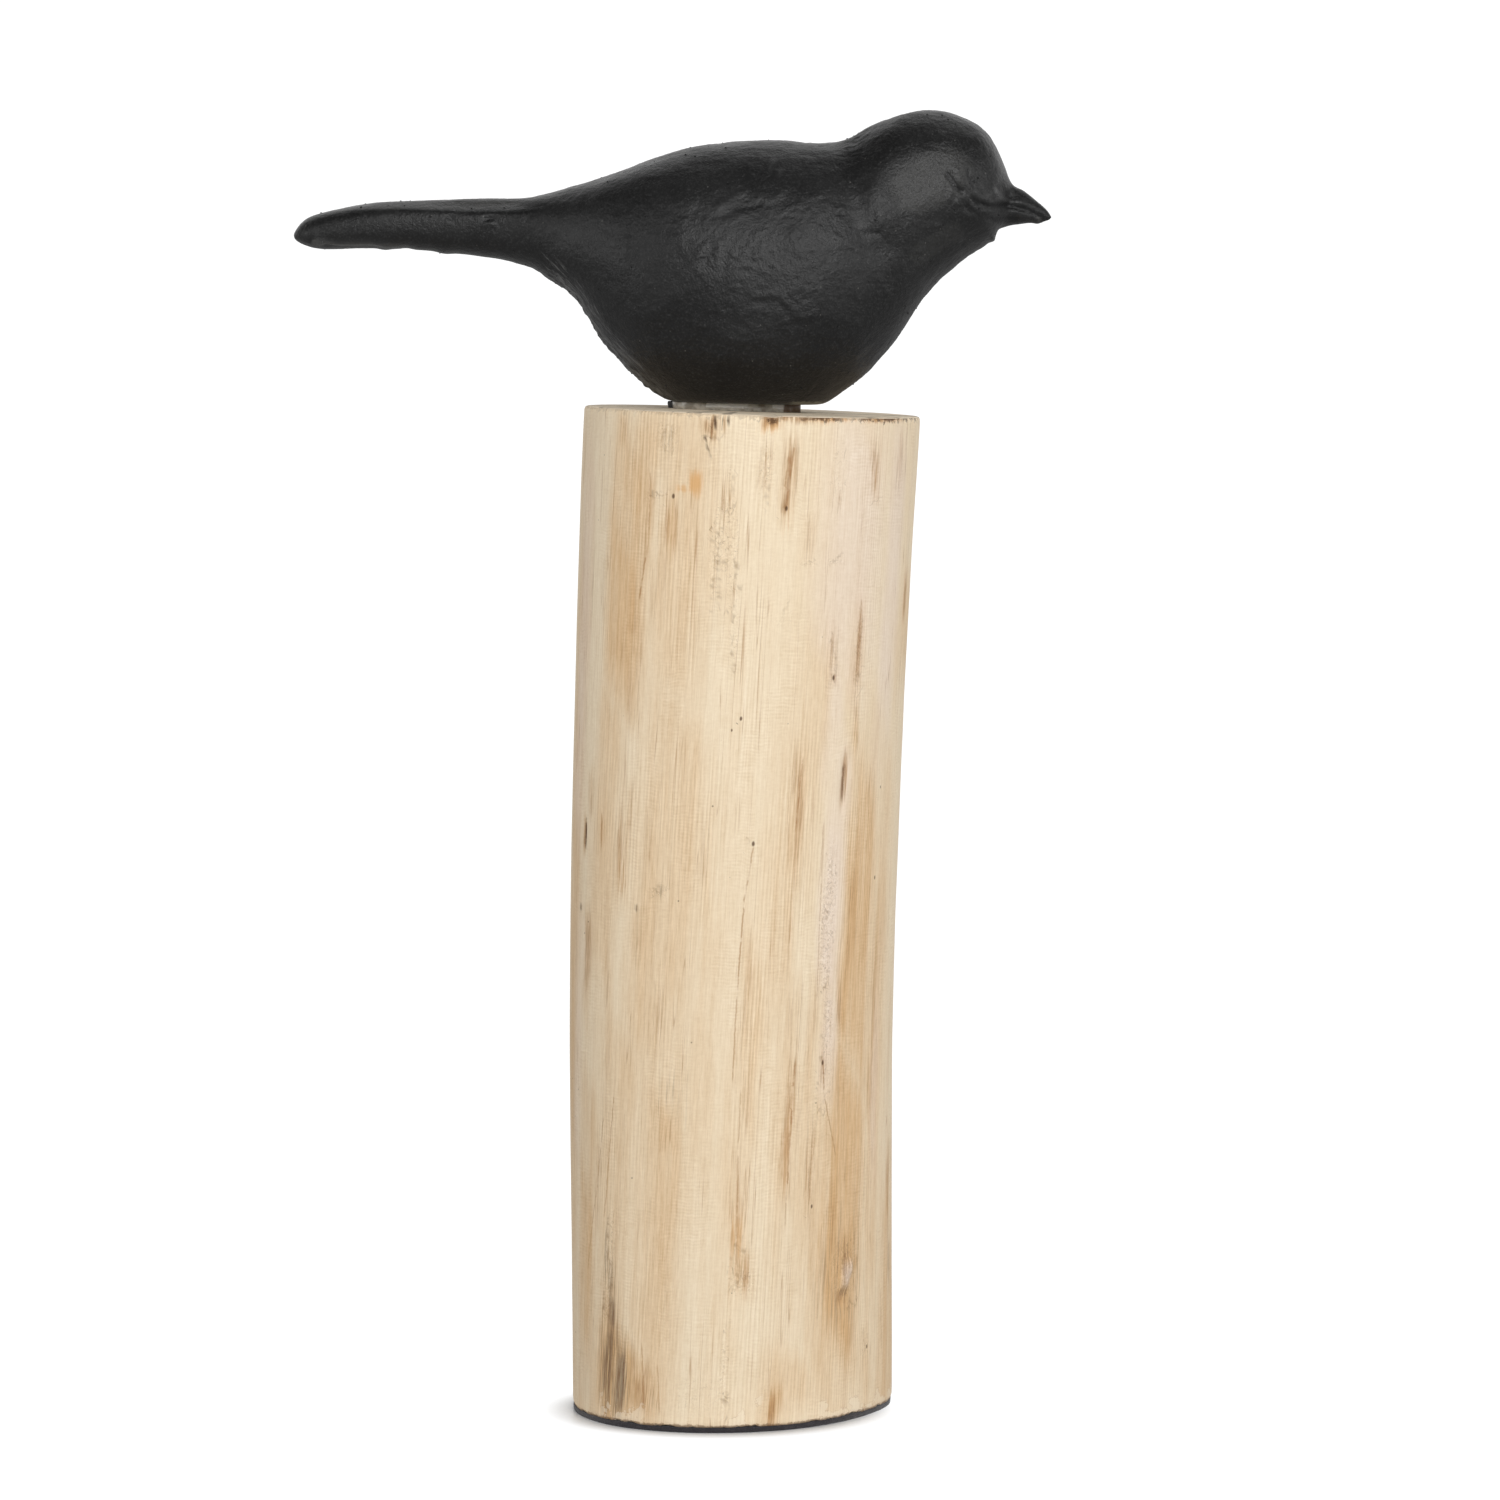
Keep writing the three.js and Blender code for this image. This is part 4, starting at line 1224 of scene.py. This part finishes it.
def skinTree():
    # Lumps of four sizes raise the carving's skin; the sole stays flat and the cheek and tail are smoother.
    tree, board, given = newTree("hand worked skin", [
        ("Broad lumps", "Float", 0.0), ("Hand lumps", "Float", 0.0), ("Fine lumps", "Float", 0.0),
        ("Small lumps", "Float", 0.0), ("Strings", "Float", 0.0),
        ("Sole", "Float", 0.3), ("Evenings", "Int", 8), ("Finish", "Material", None),
    ])
    place = board.put("GeometryNodeInputPosition")
    across, up = place.part("X") / mm, place.part("Z") / mm
    # the beak and the tail's tip would shrink if they were evened as much as the body
    weight = across.fade(77.0, 81.0, 1.0, 0.06) * across.fade(-127.0, -121.0, 0.35, 1.0)
    evened = board.put("GeometryNodeBlurAttribute", {"data_type": "FLOAT_VECTOR"},
                       {"Value": place, "Iterations": given["Evenings"], "Weight": weight})
    even = board.put("GeometryNodeSetPosition", {}, {"Geometry": given["Geometry"], "Position": evened})
    placeMm = place.vector("SCALE", scale=1 / mm)
    waves = {name: board.noise(placeMm, *values) - 0.5 for name, values in lumpNoises.items()}
    lumps = SimpleNamespace(**waves)
    cheek = ovalReach(across, up, "cheek").fade(0.4, 1.4, 0.3, 1.0)
    flank = ovalReach(across, up, "flank").fade(0.3, 1.4, 1.3, 1.0)
    clear = ((place.part("Z") - given["Sole"]) / mm).fade(0.5, 5.0)
    amount = clear * across.fade(76.0, 82.0, 1.0, 0.25) * across.fade(-75.0, -55.0, 0.55, 1.0)
    push = (lumps.broad * given["Broad lumps"] + lumps.hand * given["Hand lumps"] * cheek
            + (lumps.fine * given["Fine lumps"] + lumps.small * given["Small lumps"]) * cheek * flank)

    # torn fibres run down the edge under the tail
    rear = place.part("Y").size().fade(6 * mm, 14 * mm, 1.0, 0.0) * across.fade(-60.0, -53.0)
    rear = rear * across.fade(-23.0, -18.0, 1.0, 0.0) * up.fade(345.0, 352.0, 1.0, 0.0)
    along = across * stripWay[0] + up * stripWay[1]
    strings = board.noise(board.join(along * 0.13, place.part("Y") / mm * 0.3, 0.0), 1.0, 2.0, 0.55)
    fibres = (strings - 0.44).most(0.0) + lumps.knobs.most(0.0) * 0.5
    push = push * 2 * amount + fibres * rear * given["Strings"] * 3
    offset = board.put("GeometryNodeInputNormal").vector("SCALE", scale=push)
    skin = board.put("GeometryNodeSetPosition", {}, {"Geometry": even, "Offset": offset})
    endTree(board, skin, given["Finish"])
    return tree


def gritTree():
    # grains that dried into the paint
    tree, board, given = newTree("grit in the paint", [
        ("Density", "Float", 0.0), ("Grain size", "Float", 0.0003), ("Seed", "Int", 1),
        ("Lowest", "Float", 0.3), ("Finish", "Material", None),
    ])
    height = board.put("GeometryNodeInputPosition").part("Z")
    inputs = {"A": height, "B": given["Lowest"]}
    chosen = board.put("FunctionNodeCompare", {"operation": "GREATER_THAN"}, inputs)
    spots = board.put("GeometryNodeDistributePointsOnFaces", {}, {
        "Mesh": given["Geometry"], "Density": given["Density"], "Seed": given["Seed"], "Selection": chosen,
    }, "Points")
    inputs = {"Radius": given["Grain size"], "Subdivisions": 1}
    grain = board.put("GeometryNodeMeshIcoSphere", {}, inputs, "Mesh")
    swell = board.put("FunctionNodeRandomValue", {"data_type": "FLOAT"},
                      {"Min_001": 0.5, "Max_001": 1.5, "Seed": given["Seed"]}, "Value_001")
    inputs = {"Points": spots, "Instance": grain, "Scale": swell}
    grains = board.put("GeometryNodeInstanceOnPoints", {}, inputs)
    both = board.put("GeometryNodeJoinGeometry", {}, {"Geometry": [given["Geometry"], grains]})
    endTree(board, both, given["Finish"])
    return tree


def awayFrom(seen, corners):
    # how far each point is from a line through the corners, seen from the side
    corners = np.array(corners)
    nearest = np.hypot(*(seen - corners[0]).T)
    for start, end in zip(corners, corners[1:]):
        along = end - start
        share = np.clip((seen - start) @ along / (along @ along), 0, 1)
        nearest = np.minimum(nearest, np.hypot(*(seen - start - share[:, None] * along).T))
    return nearest


def bevelTail(mesh):
    # the tail narrows above its crease, which leaves a slope on each side of its top
    points = pointsOf(mesh)
    across, up = points[:, 0] / mm, points[:, 2] / mm
    crease = np.interp(across, *np.array(faceMarks["tailCrease"][2]).T)
    slope = smoothstep(0, tailBevel["rise"], up - crease)
    slope *= smoothstep(tailBevel["from"], tailBevel["full"], across)
    points[:, 1] *= 1 - tailBevel["pinch"] * slope
    movePoints(mesh, points)


def carveMarks(mesh):
    points, normals = pointsOf(mesh), normalsOf(mesh)
    seen = points[:, [0, 2]] / mm
    bothSides = np.clip(np.abs(normals[:, 1]) * spread["sideGain"], 0, 1)
    rightSide = np.clip(-normals[:, 1] * spread["sideGain"], 0, 1)
    everywhere = np.ones(len(points))
    marks = [(mark, bothSides) for mark in faceMarks.values()]
    marks += [(mark, rightSide) for mark in flankMarks.values()]
    marks += [(mark, everywhere) for mark in outlineMarks.values()]
    for x, z in pits:
        marks += [((height, pitWidth, [(x + left, z + rise)]), rightSide) for height, left, rise in pitParts]
    raised, worked = np.zeros(len(points)), np.zeros(len(points))
    for (height, width, corners), side in marks:
        push = height * np.exp(-(awayFrom(seen, corners) / width) ** 2) * side
        raised += push
        # narrow marks are also stored to paint shade into their grooves and highlights onto their ridges
        if width < spread["broad"]:
            worked += push
    # painted highlights: how much paler each listed place is painted
    highlightPaint = np.zeros(len(points))
    for strength, width, corners in paintedHighlights.values():
        near = smoothstep(*spread["highlightEdge"], awayFrom(seen, corners) / width)
        highlightPaint = np.maximum(highlightPaint, strength * near * bothSides)
    # the torn strip, where a painted rim highlight goes
    strip = smoothstep(*spread["stripWidth"], awayFrom(seen, tornStrip))
    strip *= smoothstep(*spread["stripReach"], np.abs(points[:, 1]) / mm)
    strip *= smoothstep(*spread["stripStart"], seen[:, 0])
    rows = np.stack([np.clip(worked / spread["inPaint"], -1, 1), strip, highlightPaint], axis=1)
    storeVectors(mesh, "worked", rows)
    movePoints(mesh, points + normals * raised[:, None] * mm)


def makeBird():
    piece = newPiece("carved_bird", mergedCopy("bird"))
    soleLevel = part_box("bird")[0].z
    finish = paintMaterial()
    remesh = piece.modifiers.new("one skin", "REMESH")
    remesh.mode = "VOXEL"
    remesh.voxel_size = carving["voxel"] * mm
    remesh.use_smooth_shade = True
    addModifierTree(piece, skinTree(), {
        "Broad lumps": carving["broadLumps"] * mm, "Hand lumps": carving["handLumps"] * mm,
        "Fine lumps": carving["fineLumps"] * mm, "Small lumps": carving["smallLumps"] * mm,
        "Strings": carving["strings"] * mm, "Sole": soleLevel,
        "Evenings": carving["evenings"], "Finish": finish,
    })
    settle(piece)
    bevelTail(piece.data)
    carveMarks(piece.data)
    addModifierTree(piece, gritTree(), {
        "Density": carving["gritDensity"], "Grain size": carving["gritSize"] * mm,
        "Seed": carving["gritSeed"], "Lowest": soleLevel + carving["gritClear"] * mm, "Finish": finish,
    })
    settle(piece)
    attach(piece, "root")
    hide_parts("bird")
    print("bird made:", len(piece.data.polygons), "faces")


makeBird()

# The dried glue under the bird and the felt under the log

glue = {
    "sides": 220, "layers": 10, "bulge": 0.2, "waves": 0.25, "seed": 3,
    "levelReach": 12.0,          # how far from the axis the slopes above and below are taken
    "grey": (186, 180, 168), "shade": (142, 134, 120), "black": (24, 23, 22), "brown": (92, 70, 46),
    "glint": (232, 230, 224),
    "glintSpan": (301.7, 302.2), "glintTilt": 0.03,
    "darkLeft": (-17.7, -17.1), "darkRight": (15.5, 16.1),   # from where to where each dark end fades
}
felt = {
    "sides": 300, "layers": 6, "bulge": 0.15, "waves": 0.12, "seed": 8,
    "nap": (45, 42, 45), "light": (86, 82, 86), "roughness": 0.95, "sheen": 0.3, "shine": 0.2,
}
capShares = (0.97, 0.85, 0.6, 0.3)   # the rings that close a band's top and underside, as shares of its rim


def closeBand(shape, rim, height, turned):
    # a cap of ever smaller rings, as high as the height function says
    count = len(rim)
    inner = rim
    for share in capShares:
        spots = [(corner.co.x * share, corner.co.y * share) for corner in rim]
        smaller = [shape.verts.new((x, y, height(x))) for x, y in spots]
        for step in range(count):
            after = (step + 1) % count
            corners = (inner[step], inner[after], smaller[after], smaller[step])
            shape.faces.new(corners[::-1] if turned else corners)
        inner = smaller
    hub = shape.verts.new((0, 0, height(0)))
    for step in range(count):
        corners = (inner[step], inner[(step + 1) % count], hub)
        shape.faces.new(corners[::-1] if turned else corners)


def bandMesh(name, rim, foot, top, look):
    # A low closed body: rim gives its (x, y) all round, and foot and top its heights at an x.
    rng = np.random.default_rng(look["seed"])
    phases = rng.uniform(0, 2 * math.pi, 6)
    shape = bmesh.new()
    rings = []
    count = len(rim)
    for layer in range(look["layers"] + 1):
        share = layer / look["layers"]
        ring = []
        for step, (x, y) in enumerate(rim):
            turn = 2 * math.pi * step / count
            wave = sum(math.sin(turn * (11 + 13 * k) + phases[k] + share * (2 + k)) / (k + 1)
                       for k in range(5))
            out = (look["bulge"] * math.sin(math.pi * share) + look["waves"] * wave * 0.5) * mm
            grown = 1 + out / math.hypot(x, y)
            low, high = foot(x), top(x)
            ring.append(shape.verts.new((x * grown, y * grown, low + share * (high - low))))
        rings.append(ring)
    for lower, upper in zip(rings, rings[1:]):
        for step in range(count):
            after = (step + 1) % count
            shape.faces.new((lower[step], lower[after], upper[after], upper[step]))
    closeBand(shape, rings[0], foot, True)
    closeBand(shape, rings[-1], top, False)
    mesh = bpy.data.meshes.new(name)
    bmesh.ops.recalc_face_normals(shape, faces=shape.faces)
    shape.to_mesh(mesh)
    shape.free()
    smoothFaces(mesh)
    return mesh


def glueMaterial():
    material, board = newMaterial("dried glue")
    place = board.placeInMm()
    across = place.part("X")
    cloud = board.noise(place, 0.35, 3.0, 0.6)
    fine = board.noise(place, 2.2, 3.0, 0.6)
    base = board.blend(cloud.fade(0.4, 0.65), colour(*glue["grey"]), colour(*glue["shade"]))
    level = place.part("Z") + across * glue["glintTilt"] + (cloud - 0.5) * 2.0
    glint = level.fade(*glue["glintSpan"]) * board.noise(place, 0.22, 1.0).fade(0.42, 0.52)
    base = board.blend(glint * 0.8, base, colour(*glue["glint"]))
    frayed = across + (cloud - 0.5) * 1.2
    blackEnd = frayed.fade(*glue["darkLeft"], 1.0, 0.0)
    base = board.blend(blackEnd, base, colour(*glue["black"]))
    base = board.blend(frayed.fade(*glue["darkRight"]), base, colour(*glue["brown"]))
    inputs = {"Base Color": base, "Roughness": (0.3 + cloud * 0.25).most(blackEnd * 0.7)}
    finishMaterial(board, inputs, [(cloud, 0.5, 0.5), (fine, 0.5, 0.1)])
    return material


def feltMaterial():
    material, board = newMaterial("black felt")
    place = board.placeInMm()
    nap = board.noise(place, 2.5, 4.0, 0.7)
    cloud = board.noise(place, 0.2)
    base = board.blend(nap.fade(0.45, 0.75) * 0.5, colour(*felt["nap"]), colour(*felt["light"]))
    base = board.blend(cloud.fade(0.5, 0.8) * 0.3, base, colour(*felt["light"]))
    inputs = {"Base Color": base, "Roughness": felt["roughness"], "Sheen Weight": felt["sheen"],
              "Specular IOR Level": felt["shine"]}
    finishMaterial(board, inputs, [(nap, 0.7, 0.25)])
    return material


def alongX(line):
    # the height at an x, for a straight line given as its height at the axis and its slope
    middle, slope = line
    return lambda x: middle + slope * x


def makeGlue():
    reach = glue["levelReach"] * mm
    foot = alongX(levelOf("log", True, reach))
    top = alongX(levelOf("bird", False, reach))
    mesh = bandMesh("glue_seam", rimOf("glue_pad", glue["sides"]), foot, top, glue)
    mesh.materials.append(glueMaterial())
    piece = newPiece("glue_seam", mesh)
    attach(piece, "root")
    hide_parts("glue_pad")


def makeFelt():
    low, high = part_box("base_pad")
    rim = rimOf("base_pad", felt["sides"])
    mesh = bandMesh("felt_foot", rim, alongX((low.z, 0)), alongX((high.z, 0)), felt)
    mesh.materials.append(feltMaterial())
    piece = newPiece("felt_foot", mesh)
    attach(piece, "root")
    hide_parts("base_pad")


makeGlue()
makeFelt()
print("glue and felt made")
